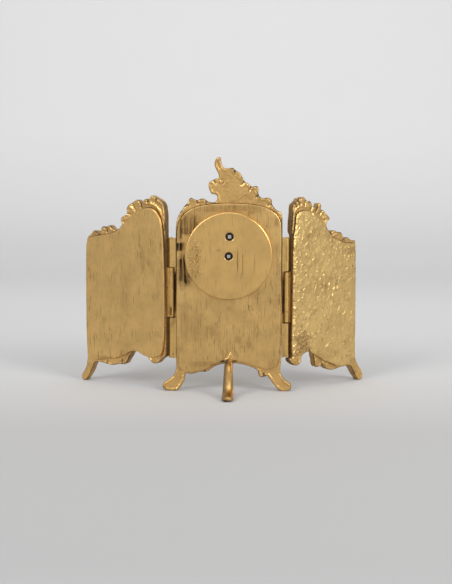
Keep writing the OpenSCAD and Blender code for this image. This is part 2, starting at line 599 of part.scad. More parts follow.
module front_movement_plate() {
  color("goldenrod") in_drum() {
    difference() {
      bar([0, 0], front_plate_r, front_face, front_in);
      for (p = arbor_list) bar(p[0], p[1] + run_gap, front_face - 1, front_in + 1);
      bar(balance_at, pivot_r + run_gap, front_face - 1, front_in + 1);
      for (a = foot_angles) bar(polar(foot_ring_r, a), dial_foot_r + run_gap, front_face - 1, front_in + 1);
    }
    // Stud that the minute wheel turns on
    bar(motion_at, 0.5, drum_front + 0.1, front_face + 0.1);
  }
}
module rear_movement_plate() {
  color("goldenrod") in_drum() difference() {
    bar([0, 0], rear_plate_r, rear_in, rear_face);
    for (p = arbor_list) bar(p[0], p[2] + run_gap, rear_in - 1, rear_face + 1);
    bar(balance_at, balance_hole_r, rear_in - 1, rear_face + 1);
    for (p = pillar_at) bar(p, 0.62, rear_in - 1, rear_face + 1);
    for (a = clamp_angles) bar(polar(clamp_screw_r, a), 0.52, rear_in - 1, rear_face + 1);
    for (p = [cock_foot, click_pivot, spring_foot]) bar(p, 0.52, rear_in - 1, rear_face + 1);
  }
}
module pillars() {
  color("darkgoldenrod") in_drum() for (p = pillar_at) difference() {
    union() {
      bar(p, pillar_r, front_in, rear_in);
      bar(p, pillar_r + 0.3, front_in, front_in + 0.5);
      bar(p, pillar_r + 0.3, rear_in - 0.5, rear_in);
    }
    bar(p, 0.62, rear_in - 3.4, rear_in + 1);
  }
}
// A slotted screw: head behind y = seat, shank in front of it
module screw(at, head_r, shank_r, seat, head_t, reach) {
  difference() {
    bar(at, head_r, seat, seat + head_t);
    translate([at[0] - head_r - 1, seat + head_t * 0.55, at[1] - 0.12]) cube([2 * head_r + 2, head_t, 0.24]);
  }
  bar(at, shank_r, seat - reach, seat);
}
module pillar_screws() {
  color("steelblue") in_drum() for (p = pillar_at) screw(p, 1.3, 0.6, rear_face, 0.7, movement_plate_t + 3);
}
clamp_screw_r = rear_plate_r - 2.2;
clamp_t = 0.6;
// Clamps that reach from the rear plate over the drum's edge
module movement_clamps() {
  color("darkgoldenrod") in_drum() for (a = clamp_angles) difference() {
    intersection() {
      slab(rear_face + clamp_t, clamp_t) rotate(a) translate([clamp_screw_r - 1.4, -1.5]) square([6, 3]);
      bar([0, 0], drum_r - 0.05, rear_face, rear_face + clamp_t);
    }
    bar(polar(clamp_screw_r, a), 0.55, rear_face - 1, rear_face + 2);
  }
}
module clamp_screws() {
  color("steelblue") in_drum() for (a = clamp_angles)
    screw(polar(clamp_screw_r, a), 1.1, 0.5, rear_face + clamp_t, 0.6, clamp_t + movement_plate_t);
}

// Trapezoid teeth: n teeth on pitch radius r, one of them centred on angle phase
function teeth(n, r, phase, add, ded, root_w, tip_w) = [for (i = [0 : n - 1], k = [0 : 3])
  polar(k == 0 || k == 3 ? r - ded * 2 * r / n : r + add * 2 * r / n,
    phase + 360 / n * (i + [-root_w, -tip_w, tip_w, root_w][k] / 2))];
function wheel_teeth(n, r, phase) = teeth(n, r, phase, 0.95, 1.25, 0.60, 0.16);
function pinion_teeth(n, r, phase) = teeth(n, r, phase, 0.55, 1.35, 0.52, 0.26);
// Pitch radius of a gear with n teeth that meshes with one of m teeth at a distance
function pitch_r(n, m, distance) = distance * n / (n + m);

// Cut-outs that leave spokes between a hub and a rim
module crossings(spokes, hub_r, rim_r, spoke_w) {
  inner = asin(spoke_w / 2 / hub_r);
  outer = asin(spoke_w / 2 / rim_r);
  for (k = [0 : spokes - 1]) rotate(360 / spokes * k)
    polygon(concat(arc(rim_r, outer, 360 / spokes - outer, 8), arc(hub_r, 360 / spokes - inner, inner, 4)));
}
// A crossed-out wheel with a hole for its arbor
module spoked_wheel(at, n, r, phase, back, t, bore_r, spokes) {
  slab(back, t) translate(at) difference() {
    polygon(wheel_teeth(n, r, phase));
    rotate(12) crossings(spokes, bore_r + 0.9, r - 0.9, 0.7);
    circle(r = bore_r);
  }
}
module pinion(at, n, r, phase, front, rear) {
  slab(rear, rear - front) translate(at) polygon(pinion_teeth(n, r, phase));
}
// A thin arbor between the plates, with a pivot in each
module arbor(at, front_pivot_r, rear_pivot_r) {
  bar(at, arbor_r, front_in + 0.1, rear_in - 0.1);
  bar(at, front_pivot_r, front_face + 0.05, front_in + 0.2);
  bar(at, rear_pivot_r, rear_in - 0.2, rear_face - 0.05);
}

// Going barrel: a drum with teeth at its front edge
barrel_gear_r = pitch_r(barrel_teeth, centre_leaves, barrel_distance);
barrel_core_r = 2;
barrel_pivot_r = 1.6;
module barrel() {
  color("gold") in_drum() translate([barrel_at[0], 0, barrel_at[1]]) difference() {
    union() {
      slab(barrel_front + 1, 1) polygon(wheel_teeth(barrel_teeth, barrel_gear_r, barrel_angle + 180));
      bar([0, 0], barrel_r, barrel_front, barrel_back);
    }
    bar([0, 0], barrel_r - 0.6, barrel_front + 0.7, barrel_back + 1);
    bar([0, 0], barrel_pivot_r + run_gap, barrel_front - 1, barrel_back);
  }
}
module barrel_cover() {
  color("gold") in_drum() translate([barrel_at[0], 0, barrel_at[1]]) difference() {
    bar([0, 0], barrel_r - 0.6 - press_gap, barrel_back - 0.6, barrel_back);
    bar([0, 0], barrel_pivot_r + run_gap, barrel_front, barrel_back + 1);
  }
}
// A flat spiral strip as an outline: turns from r0 to r1, t thick, n points a turn
function spiral(r0, r1, turns, t, n) = concat(
  [for (i = [0 : n * turns]) polar(r0 + (r1 - r0) * i / (n * turns), 360 * i / n)],
  [for (i = [n * turns : -1 : 0]) polar(r0 + t + (r1 - r0) * i / (n * turns), 360 * i / n)]);
spring_front = barrel_front + 0.8;
spring_back = barrel_back - 0.7;
module mainspring() {
  color("slategray") in_drum() translate([barrel_at[0], 0, barrel_at[1]])
    slab(spring_back, spring_back - spring_front)
      polygon(spiral(barrel_core_r + 0.15, barrel_r - 1.05, 8, 0.25, 20));
}
// Winding arbor: pivots in both plates, a thick core in the barrel, a square for the ratchet and the key
module winding_arbor() {
  color("lightgray") in_drum() {
    bar(barrel_at, 0.9, front_face + 0.05, front_in + 0.2);
    bar(barrel_at, barrel_pivot_r, front_in + 0.1, rear_in - 0.05);
    bar(barrel_at, barrel_core_r, spring_front, spring_back);
    bar(barrel_at, winding_pivot_r, rear_in - 0.1, rear_face + 0.1);
    square_bar(barrel_at, winding_square, rear_face, cover_back - 0.2);
  }
}
function ratchet_teeth_points(n, r, depth) = [for (i = [0 : n - 1], k = [0 : 1])
  polar(k == 0 ? r - depth : r, 360 / n * (i + (k == 0 ? 0 : 0.15)))];
ratchet_back = rear_face + 1;
module ratchet_wheel() {
  color("lightgray") in_drum() difference() {
    slab(ratchet_back, 0.8) translate(barrel_at)
      polygon(ratchet_teeth_points(ratchet_teeth, ratchet_r, 0.55));
    square_bar(barrel_at, winding_square + 2 * press_gap, rear_face, cover_back);
  }
}
// Click: a lever whose nose lies against the ratchet's edge and stops it from running back
click_offset = [-6.2, 4.6] * train_k;
click_pivot = barrel_at + click_offset;
click_reach = 4.6 * train_k;
click_nose_r = ratchet_r + 0.15;
click_aside = acos((pow(norm(click_offset), 2) + pow(click_reach, 2) - pow(click_nose_r, 2))
  / (2 * norm(click_offset) * click_reach));
click_angle = atan2(-click_offset[1], -click_offset[0]) - click_aside;
module click() {
  color("lightgray") in_drum() difference() {
    union() {
      bar(click_pivot, 1.3, ratchet_back - 0.7, ratchet_back);
      slab(ratchet_back, 0.7) translate(click_pivot) rotate(click_angle)
        polygon([[0, 1.1], [click_reach * 0.6, 0.3], [click_reach, 0], [click_reach - 0.2, -0.5],
          [click_reach * 0.6, -0.8], [0, -1.1]]);
    }
    bar(click_pivot, 0.5 + run_gap, rear_face, cover_back);
  }
}
spring_foot = click_pivot + [-2.6, -8.4] * train_k;
// Click spring: a foot and a thin arm that bends up beside the click
module click_spring() {
  color("slategray") in_drum() difference() {
    union() {
      bar(spring_foot, 1.2, rear_face, rear_face + 0.7);
      slab(rear_face + 0.7, 0.5) translate(spring_foot)
        polygon([[-0.9, 0], [-1.2, 2.4], [-0.3, 4.2], [1.7, 6], [2, 5.75], [0.1, 4], [-0.7, 2.4], [-0.4, 0]]);
    }
    bar(spring_foot, 0.52, rear_face - 1, rear_face + 2);
  }
}
module click_screws() {
  color("steelblue") in_drum() {
    screw(click_pivot, 1.1, 0.5, ratchet_back + 0.1, 0.5, ratchet_back + 0.1 - rear_in);
    screw(spring_foot, 1.1, 0.5, rear_face + 0.7, 0.5, 0.7 + movement_plate_t);
  }
}

// Centre arbor: setting square behind, pinion for the barrel, seat for the cannon pinion in front
centre_pinion_r = pitch_r(centre_leaves, barrel_teeth, barrel_distance);
centre_wheel_r = pitch_r(centre_teeth, third_leaves, third_distance);
hand_end = dial_face - 2;
module centre_arbor() {
  color("lightgray") in_drum() {
    bar([0, 0], 0.7, hand_end, front_in + 0.2);
    bar([0, 0], setting_pivot_r, front_face + 0.05, front_in + 0.1);
    pinion([0, 0], centre_leaves, centre_pinion_r, barrel_angle + 180 / centre_leaves,
      front_in + 0.15, barrel_front + 1.4);
    bar([0, 0], 0.8, barrel_front + 1.2, rear_in);
    bar([0, 0], setting_pivot_r, rear_in - 0.1, rear_face + 0.1);
    square_bar([0, 0], setting_square, rear_face, cover_back - 0.2);
  }
}
module centre_wheel() {
  color("gold") in_drum()
    spoked_wheel([0, 0], centre_teeth, centre_wheel_r, third_angle, centre_wheel_back, wheel_t + 0.1,
      0.82, 4);
}
// Cannon pinion: a pipe over the arbor's front with twelve leaves at its root
cannon_back = front_face - 0.1;
cannon_gear_r = pitch_r(cannon_leaves, minute_teeth, motion_distance);
module cannon_pinion() {
  color("lightgray") in_drum() difference() {
    union() {
      bar([0, 0], cannon_r, hand_end + 0.6, cannon_back);
      pinion([0, 0], cannon_leaves, cannon_gear_r, motion_angle + 180 / cannon_leaves,
        cannon_back - 0.5, cannon_back);
    }
    bar([0, 0], 0.7 + press_gap, hand_end - 1, front_face + 1);
  }
}
minute_wheel_r = pitch_r(minute_teeth, cannon_leaves, motion_distance);
minute_pinion_r = pitch_r(minute_leaves, hour_teeth, motion_distance);
hour_wheel_r = pitch_r(hour_teeth, minute_leaves, motion_distance);
// Minute wheel with its pinion, on the stud of the front plate
module minute_wheel() {
  color("gold") in_drum() difference() {
    union() {
      slab(cannon_back - 0.1, 0.35) translate(motion_at)
        polygon(wheel_teeth(minute_teeth, minute_wheel_r, motion_angle + 180));
      pinion(motion_at, minute_leaves, minute_pinion_r, motion_angle + 180, drum_front + 0.15,
        cannon_back - 0.4);
    }
    bar(motion_at, 0.5 + run_gap, drum_front - 1, front_face);
  }
}
// Hour wheel on a pipe that turns round the cannon pinion
module hour_wheel() {
  color("gold") in_drum() difference() {
    union() {
      slab(cannon_back - 0.65, 0.35) polygon(wheel_teeth(hour_teeth, hour_wheel_r,
        motion_angle + 180 / hour_teeth));
      bar([0, 0], hour_pipe_r, dial_face - 0.9, cannon_back - 0.6);
    }
    bar([0, 0], cannon_r + run_gap, dial_face - 3, front_face);
  }
}
// A hand's half outline from its hub to its tip, mirrored: scrolled, with a leaf-shaped end
function hand_outline(l, w) = let (half = [[w * 0.35, 0], [w * 0.3, l * 0.25], [w, l * 0.4],
  [w * 0.9, l * 0.52], [w * 0.3, l * 0.6], [w * 0.7, l * 0.7], [w * 0.55, l * 0.8], [w * 0.15, l * 0.88]])
  concat([[0, l]], [for (i = [len(half) - 1 : -1 : 0]) half[i]], [for (q = half) [-q[0], q[1]]]);
module hand(l, w, hub_r, bore_r, back, t, angle) {
  eye = polar(l * 0.46, 90 - angle);
  difference() {
    union() {
      bar([0, 0], hub_r, back - t, back);
      slab(back, t) rotate(-angle) polygon(cut(hand_outline(l, w)));
    }
    bar([0, 0], bore_r, back - 2 * t, back + t);
    bar(eye, w * 0.4, back - 2 * t, back + t);
  }
}
module hour_hand() {
  color("midnightblue") in_drum()
    hand(hour_hand_l, 1.5, 2.3, hour_pipe_r + press_gap, dial_face - 0.4, 0.35, shown_minutes / 2);
}
module minute_hand() {
  color("midnightblue") in_drum()
    hand(minute_hand_l, 1.1, 1.7, cannon_r + press_gap, hand_end + 1, 0.3, shown_minutes * 6);
}

// Third, fourth and escape wheels with their arbors
third_pinion_r = pitch_r(third_leaves, centre_teeth, third_distance);
third_wheel_r = pitch_r(third_teeth, fourth_leaves, fourth_distance);
fourth_pinion_r = pitch_r(fourth_leaves, third_teeth, fourth_distance);
fourth_wheel_r = pitch_r(fourth_teeth, escape_leaves, escape_distance);
escape_pinion_r = pitch_r(escape_leaves, fourth_teeth, escape_distance);
module third_wheel() {
  color("gold") in_drum() spoked_wheel(third_at, third_teeth, third_wheel_r, fourth_angle,
    third_wheel_back, wheel_t, arbor_r + press_gap, 4);
}
module third_arbor() {
  color("lightgray") in_drum() {
    arbor(third_at, pivot_r, pivot_r);
    pinion(third_at, third_leaves, third_pinion_r, third_angle + 180 + 180 / third_leaves,
      centre_wheel_back - 0.8, centre_wheel_back + 0.2);
  }
}
module fourth_wheel() {
  color("gold") in_drum() spoked_wheel(fourth_at, fourth_teeth, fourth_wheel_r, escape_angle,
    fourth_wheel_back, wheel_t, arbor_r + press_gap, 4);
}
module fourth_arbor() {
  color("lightgray") in_drum() {
    arbor(fourth_at, pivot_r, pivot_r);
    pinion(fourth_at, fourth_leaves, fourth_pinion_r, fourth_angle + 180 + 180 / fourth_leaves,
      third_wheel_back - 0.7, third_wheel_back + 0.3);
  }
}
module escape_wheel() {
  n = escape_teeth;
  points = [for (i = [0 : n - 1], k = [0 : 3])
    polar([escape_r - 1, escape_r, escape_r, escape_r - 1][k], 360 / n * (i + [0, 0.42, 0.5, 0.3][k]))];
  color("gold") in_drum() slab(escape_wheel_back, wheel_t) translate(escape_at) difference() {
    polygon(points);
    crossings(4, arbor_r + 0.7, escape_r - 1.5, 0.5);
    circle(r = arbor_r + press_gap);
  }
}
module escape_arbor() {
  color("lightgray") in_drum() {
    arbor(escape_at, pivot_r, pivot_r);
    pinion(escape_at, escape_leaves, escape_pinion_r, escape_angle + 180 + 180 / escape_leaves,
      fourth_wheel_back - 0.7, fourth_wheel_back + 0.3);
  }
}
// Pallet lever: two pallets beside the escape wheel and a fork toward the balance
lever_angle = atan2(balance_at[1] - escape_at[1], balance_at[0] - escape_at[0]);
impulse_r = 0.9;
fork_reach = norm(balance_at - pallet_at) - impulse_r - 0.45;
pallet_gap = 0.32;
module pallet_lever() {
  color("lightgray") in_drum() {
    slab(escape_wheel_back, wheel_t) translate(pallet_at) rotate(lever_angle) difference() {
      union() {
        circle(r = 0.9);
        polygon([[0, 0.4], [fork_reach - 0.8, 0.25], [fork_reach, 0.7], [fork_reach, -0.7],
          [fork_reach - 0.8, -0.25], [0, -0.4]]);
        polygon([[0.5, 0.5], [0.3, 2.7], [-1.8, 3], [-1.9, 2.4], [-0.4, 2.1], [-0.6, 0]]);
        polygon([[0.5, -0.5], [0.3, -2.7], [-1.8, -3], [-1.9, -2.4], [-0.4, -2.1], [-0.6, 0]]);
      }
      translate([fork_reach - 0.5, -0.22]) square([1, 0.44]);
      translate([-norm(pallet_at - escape_at), 0]) circle(r = escape_r + pallet_gap);
    }
    bar(pallet_at, 0.4, front_in + 0.1, rear_in - 0.1);
    bar(pallet_at, pivot_r, front_face + 0.05, front_in + 0.2);
    bar(pallet_at, pivot_r, rear_in - 0.2, rear_face - 0.05);
  }
}
// Balance: a plain three-armed wheel on a staff with a roller and its impulse pin
module balance_wheel() {
  color("gold") in_drum() slab(balance_wheel_back, 0.5) translate(balance_at) difference() {
    circle(r = balance_r);
    crossings(3, 0.9, balance_r - 0.7, 0.6);
    circle(r = 0.4 + press_gap);
  }
}
cock_back = rear_face + 1.2;
module balance_staff() {
  color("lightgray") in_drum() {
    bar(balance_at, 0.4, front_in + 0.1, rear_face + 0.1);
    bar(balance_at, 0.25, front_face + 0.05, front_in + 0.2);
    bar(balance_at, 0.25, rear_face, cock_back - 0.1);
    bar(balance_at, 1.2, balance_wheel_back - 1, balance_wheel_back - 0.75);
    bar(balance_at + polar(impulse_r, lever_angle + 180), 0.15,
      escape_wheel_back - 0.3, balance_wheel_back - 0.8);
    bar(balance_at, 0.6, rear_in + 0.2, rear_in + 0.7);
  }
}
spring_stud_at = balance_at + [2.95, 0];
// Hairspring: a flat spiral round the staff, with its outer end in a stud
module hairspring() {
  color("steelblue") in_drum() {
    slab(rear_in + 0.7, 0.35) translate(balance_at) polygon(spiral(0.68, 2.8, 4, 0.1, 20));
    bar(spring_stud_at, 0.2, rear_in + 0.2, rear_face);
  }
}
cock_foot = balance_at + [1.2, -7] * train_k;
// Cock: a foot on the rear plate and an arm that reaches over the balance's pivot
module balance_cock() {
  color("goldenrod") in_drum() difference() {
    union() {
      bar(balance_at, 1.6, rear_face, cock_back);
      bar(cock_foot, 2, rear_face, cock_back);
      slab(cock_back, cock_back - rear_face) polygon([balance_at + [-1.3, 0], balance_at + [1.3, 0],
        cock_foot + [1.6, 0], cock_foot + [-1.6, 0]]);
      slab(cock_back, cock_back - rear_face) translate(balance_at + [0, -0.5]) square([3.6, 1]);
    }
    bar(balance_at, 0.25 + run_gap, rear_face - 1, cock_back + 1);
    bar(balance_at, 1.2, rear_face - 1, rear_face + 0.3);
    bar(cock_foot, 0.52, rear_face - 1, cock_back + 1);
  }
}
module cock_screw() {
  color("steelblue") in_drum() screw(cock_foot, 1.2, 0.5, cock_back, 0.5, cock_back - rear_in);
}

centre_frame();
centre_back_plate();
centre_panel();
crest_rosette();
rear_strut();
right_centre_hinge();
left_centre_hinge();
right_hinge_pin();
left_hinge_pin();
right_wing_frame();
right_wing_back_plate();
right_wing_panel();
right_wing_hinge();
left_wing_frame();
left_wing_back_plate();
left_wing_panel();
left_wing_hinge();
cover_seat();
rear_cover();
movement_drum();
flange_screws();
bezel();
sight_ring();
glass();
dial();
dial_pins();
front_movement_plate();
rear_movement_plate();
pillars();
pillar_screws();
movement_clamps();
clamp_screws();
barrel();
barrel_cover();
mainspring();
winding_arbor();
ratchet_wheel();
click();
click_spring();
click_screws();
centre_arbor();
centre_wheel();
cannon_pinion();
minute_wheel();
hour_wheel();
hour_hand();
minute_hand();
third_wheel();
third_arbor();
fourth_wheel();
fourth_arbor();
escape_wheel();
escape_arbor();
pallet_lever();
balance_wheel();
balance_staff();
hairspring();
balance_cock();
cock_screw();
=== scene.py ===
# %% [markdown]
# # A folding-screen desk clock in gilt brass
# This lesson dresses a clock whose working parts come from CAD. The clock is a little three-leaf screen,
# seen from behind: three cast frames with flat back plates, two hinges, a strut, and a round cover over the
# movement. CAD gives exact wheels and pins, so those stay. Castings are hand-finished metal with soft edges
# and carved fronts, so those are made again here.
#
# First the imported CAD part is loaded. Its box is kept, because nothing here may outgrow it.

import json
import math

import bmesh
import bpy
import numpy as np
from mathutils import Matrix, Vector, noise
from mathutils.geometry import delaunay_2d_cdt


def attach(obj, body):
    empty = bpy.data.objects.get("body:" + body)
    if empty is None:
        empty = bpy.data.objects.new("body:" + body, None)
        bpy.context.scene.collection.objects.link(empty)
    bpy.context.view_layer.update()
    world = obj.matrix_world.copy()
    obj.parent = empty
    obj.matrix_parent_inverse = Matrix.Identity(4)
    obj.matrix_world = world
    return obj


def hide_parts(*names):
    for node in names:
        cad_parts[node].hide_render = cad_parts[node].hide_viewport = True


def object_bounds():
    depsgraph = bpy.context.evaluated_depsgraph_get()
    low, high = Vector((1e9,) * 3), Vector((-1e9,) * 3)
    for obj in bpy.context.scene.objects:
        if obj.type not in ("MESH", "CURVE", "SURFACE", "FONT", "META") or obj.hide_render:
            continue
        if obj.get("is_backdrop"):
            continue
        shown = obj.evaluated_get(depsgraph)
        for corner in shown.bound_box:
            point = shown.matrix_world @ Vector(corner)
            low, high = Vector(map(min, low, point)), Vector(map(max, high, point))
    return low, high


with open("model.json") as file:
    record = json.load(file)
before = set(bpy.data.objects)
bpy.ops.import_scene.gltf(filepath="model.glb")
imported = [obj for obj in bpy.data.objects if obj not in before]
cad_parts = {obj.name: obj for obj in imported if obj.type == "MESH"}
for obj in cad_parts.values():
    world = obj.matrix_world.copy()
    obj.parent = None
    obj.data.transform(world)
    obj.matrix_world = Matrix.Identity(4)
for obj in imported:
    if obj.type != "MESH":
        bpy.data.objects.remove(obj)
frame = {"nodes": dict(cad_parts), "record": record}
cad_low, cad_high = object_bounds()
nodes = frame["nodes"]
print("CAD nodes:", len(nodes), "box:", [round(v, 4) for v in (*cad_low, *cad_high)])

# %% [markdown]
# ## Where the photographer stood
# The clock is small and the camera was about 70 cm away, a little above it. The lens is a long one, so the
# leaves hardly converge. The view is given by a place, a turn to the side and a tilt downwards.

# %% Camera
MM = 0.001
CAMERA_AT = Vector((-18.324, 699.76, 140)) * MM
TILT = math.radians(6.792)
PAN = math.radians(1.635)
SENSOR = 36
FOCAL_PIXELS = 1253
PICTURE_H = 584
NEAREST = 0.01


def linked(name, data):
    """A new object in the scene."""
    thing = bpy.data.objects.new(name, data)
    bpy.context.scene.collection.objects.link(thing)
    return thing


camera = linked("camera", bpy.data.cameras.new("camera"))
look = Vector((math.sin(PAN) * math.cos(TILT), -math.cos(PAN) * math.cos(TILT), -math.sin(TILT)))
camera.location = CAMERA_AT
camera.rotation_euler = look.to_track_quat("-Z", "Y").to_euler()
camera.data.sensor_width = SENSOR
camera.data.lens = SENSOR * FOCAL_PIXELS / PICTURE_H
camera.data.clip_start = NEAREST
bpy.context.scene.camera = camera
print("camera looks along", [round(v, 3) for v in look], "lens", round(camera.data.lens, 1), "mm")

# %% [markdown]
# ## Node values that behave like numbers
# A material is a sum of many small steps, and each step is a node. Written out, the wiring hides the sum.
# So a socket is wrapped here as a Value that adds and multiplies like a plain number. Each sign then makes
# one Math node, and a material below reads as a formula.

# %% Values in a node tree
class Value:
    """A socket's value. The signs + - * / and abs() each make a Math node in the socket's own tree."""

    def __init__(self, socket):
        self.socket = socket

    def __add__(self, other):
        return maths("ADD", self, other)

    def __sub__(self, other):
        return maths("SUBTRACT", self, other)

    def __rsub__(self, other):
        return maths("SUBTRACT", other, self)

    def __mul__(self, other):
        return maths("MULTIPLY", self, other)

    def __truediv__(self, other):
        return maths("DIVIDE", self, other)

    def __abs__(self):
        return maths("ABSOLUTE", self)


def give(socket, value):
    """Links a Value to a socket, or sets the socket to a number or a colour."""
    if isinstance(value, Value):
        socket.id_data.links.new(value.socket, socket)
    elif isinstance(value, tuple):
        socket.default_value = (*value, 1)
    else:
        socket.default_value = value


def node_beside(kind, *values):
    """A new node in the tree that one of the values belongs to."""
    tree = next(v.socket.id_data for v in values if isinstance(v, Value))
    return tree.nodes.new(kind)


def maths(operation, a, b=0.0, clamp=False):
    """A Math node. a and b are Values or numbers."""
    node = node_beside("ShaderNodeMath", a, b)
    node.operation = operation
    node.use_clamp = clamp
    give(node.inputs[0], a)
    give(node.inputs[1], b)
    return Value(node.outputs[0])


def ramp(value, low, high, to_low=0.0, to_high=1.0):
    """Maps a range of values smoothly to another range."""
    node = node_beside("ShaderNodeMapRange", value)
    node.interpolation_type = "SMOOTHSTEP"
    for label, v in (("Value", value), ("From Min", low), ("From Max", high),
                     ("To Min", to_low), ("To Max", to_high)):
        give(node.inputs[label], v)
    return Value(node.outputs[0])


def mixed(share, a, b):
    """Mixes two colours. Each may be a Value or a colour, and share a Value or a number."""
    node = node_beside("ShaderNodeMix", share, a, b)
    node.data_type = "RGBA"
    for socket, v in ((node.inputs[0], share), (node.inputs[6], a), (node.inputs[7], b)):
        give(socket, v)
    return Value(node.outputs[2])


def shades(value, stops, tint):
    """A colour ramp of one tint. stops are (place from 0 to 1, shade)."""
    node = node_beside("ShaderNodeValToRGB", value)
    give(node.inputs[0], value)
    elements = node.color_ramp.elements
    while len(elements) < len(stops):
        elements.new(0.5)
    for element, (at, shade) in zip(elements, stops):
        element.position = at
        element.color = (*(shade * part for part in tint), 1)
    return Value(node.outputs[0])


def object_place(tree):
    """Object coordinates, in metres."""
    return Value(tree.nodes.new("ShaderNodeTexCoord").outputs["Object"])


def parts(vector):
    """The X, Y and Z of a vector."""
    node = node_beside("ShaderNodeSeparateXYZ", vector)
    give(node.inputs[0], vector)
    return [Value(socket) for socket in node.outputs]


def drawn_out(tree, stretch):
    """Object coordinates, drawn out along Z."""
    x, y, z = parts(object_place(tree))
    node = tree.nodes.new("ShaderNodeCombineXYZ")
    for socket, v in zip(node.inputs, (x, y, z / stretch)):
        give(socket, v)
    return Value(node.outputs[0])


def noise_at(vector, scale, detail=3.0, roughness=0.55):
    """A Noise texture's value."""
    node = node_beside("ShaderNodeTexNoise", vector)
    for label, v in (("Vector", vector), ("Scale", scale), ("Detail", detail), ("Roughness", roughness)):
        give(node.inputs[label], v)
    return Value(node.outputs[0])


def new_material(name):
    """A new material. Returns it, its node tree and the inputs of its shader."""
    material = bpy.data.materials.new(name)
    material.use_nodes = True
    tree = material.node_tree
    return material, tree, tree.nodes["Principled BSDF"].inputs


def add_bump(surface, height, distance):
    """Lets a height disturb the shader's normal."""
    node = node_beside("ShaderNodeBump", height)
    give(node.inputs["Distance"], distance)
    give(node.inputs["Height"], height)
    give(surface["Normal"], Value(node.outputs[0]))


# %% [markdown]
# ## A plain studio
# Polished metal shows what is around it, so the room matters as much as the lamps. A pale floor runs up into
# a pale backdrop, and two large soft lamps stand beside the camera, with a third above the clock for the
# bright line along each top edge. The paper's tone is painted light: bright high on the backdrop, darker on
# the floor round the clock, and brighter again on the floor near the camera, which the plates reflect. The
# view transform is Standard, so colours stay as they are written.

# %% Studio
bpy.context.scene.view_settings.view_transform = "Standard"


def paper_material(name, far_to_near, tint, roughness=0.9):
    """Matt paper with painted light: its tone runs along Y. far_to_near are (y in metres, painted
    brightness).
    """
    material, tree, surface = new_material(name)
    far, near = far_to_near[0][0], far_to_near[-1][0]
    share = tree.nodes.new("ShaderNodeMapRange")
    for label, v in (("Value", parts(object_place(tree))[1]), ("From Min", far), ("From Max", near)):
        give(share.inputs[label], v)
    stops = [((y - far) / (near - far), shade) for y, shade in far_to_near]
    give(surface["Base Color"], shades(Value(share.outputs[0]), stops, tint))
    surface["Roughness"].default_value = roughness
    return material


def add_lamp(name, place, target, size, power):
    """A square soft lamp that points at a target."""
    lamp = linked(name, bpy.data.lights.new(name, "AREA"))
    lamp.location = place
    lamp.rotation_euler = (Vector(target) - Vector(place)).to_track_quat("-Z", "Y").to_euler()
    lamp.data.size = size
    lamp.data.energy = power


def add_sweep(name, near, far, half_width, bend, height, material):
    """A floor that curves up into a backdrop, from y = near to y = far."""
    turn = [(far + bend - bend * math.sin(a), bend - bend * math.cos(a))
            for a in np.linspace(0, math.pi / 2, 17)]
    line = [(near, 0.0), *turn, (far, height)]
    points = [(x, y, z) for y, z in line for x in (-half_width, half_width)]
    faces = [(2 * i, 2 * i + 1, 2 * i + 3, 2 * i + 2) for i in range(len(line) - 1)]
    mesh = bpy.data.meshes.new(name)
    mesh.from_pydata(points, [], faces)
    mesh.materials.append(material)
    mesh.shade_smooth()
    linked(name, mesh)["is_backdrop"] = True


PAPER_PAINTED_LIGHT = [(-0.96, 0.76), (-0.85, 0.71), (-0.75, 0.65), (-0.6, 0.645), (-0.4, 0.64), (-0.2, 0.59),
                (-0.05, 0.53), (0.1, 0.41), (0.3, 0.38), (0.6, 0.5), (1.4, 0.7)]
paper = paper_material("studio_paper", PAPER_PAINTED_LIGHT, (1, 0.995, 0.985))
add_sweep("studio_sweep", near=1.6, far=-1.1, half_width=2.2, bend=0.5, height=2.0, material=paper)

ROOM_STRENGTH = 0.62
ROOM_SHADES = [(0.0, 1.25), (0.3, 1.1), (0.6, 0.75), (1.0, 0.7)]
ROOM_TINT = (0.86, 0.87, 0.9)
world = bpy.data.worlds.new("studio_world")
bpy.context.scene.world = world
world.use_nodes = True
background = world.node_tree.nodes["Background"].inputs
direction = Value(world.node_tree.nodes.new("ShaderNodeTexCoord").outputs["Generated"])
give(background["Strength"], ROOM_STRENGTH)
give(background["Color"], shades(parts(direction)[2], ROOM_SHADES, ROOM_TINT))

MIDDLE = (0, 0, 0.06)
for name, place, size, power in (("lamp_left", (0.75, 0.9, 0.75), 0.6, 8.5),
                                 ("lamp_right", (-0.85, 0.8, 0.6), 0.6, 9.5),
                                 ("lamp_top", (0.0, 0.05, 1.1), 0.8, 4.5)):
    add_lamp(name, place, MIDDLE, size, power)
print("studio:", len(PAPER_PAINTED_LIGHT), "shades of paper,", len(bpy.data.lights), "lamps")

# %% [markdown]
# ## Marks that gilt brass carries
# Real gilt brass is never one flat colour. The plates were filed from top to bottom, which leaves fine
# streaks. Casting leaves pits. Lacquer and dirt leave brown clouds. Hollows, side walls and gaps are darkened
# too, partly as dirt and partly as painted shade. Each mark is a shader node group, built once, that gives a
# mask from 0 to 1. All read Object coordinates in metres, so a mark keeps its real size on every piece.

# %% Helpers for shader node groups
def new_group(name, output, **inputs):
    """An empty shader node group with named number inputs (spaces written as _).
    Returns the group, its inputs as Values, and its output socket."""
    group = bpy.data.node_groups.new(name, "ShaderNodeTree")
    for label, value in inputs.items():
        socket = group.interface.new_socket(label.replace("_", " "), in_out="INPUT",
                                            socket_type="NodeSocketFloat")
        socket.default_value = value
    group.interface.new_socket(output, in_out="OUTPUT", socket_type="NodeSocketFloat")
    given, result = group.nodes.new("NodeGroupInput"), group.nodes.new("NodeGroupOutput")
    return group, [Value(socket) for socket in given.outputs[:len(inputs)]], result.inputs[0]


def use_group(tree, group, **values):
    """Adds a group to a material, with its values given by label (spaces written as _)."""
    node = tree.nodes.new("ShaderNodeGroup")
    node.node_tree = group
    for label, v in values.items():
        node.inputs[label.replace("_", " ")].default_value = v
    return Value(node.outputs[0])


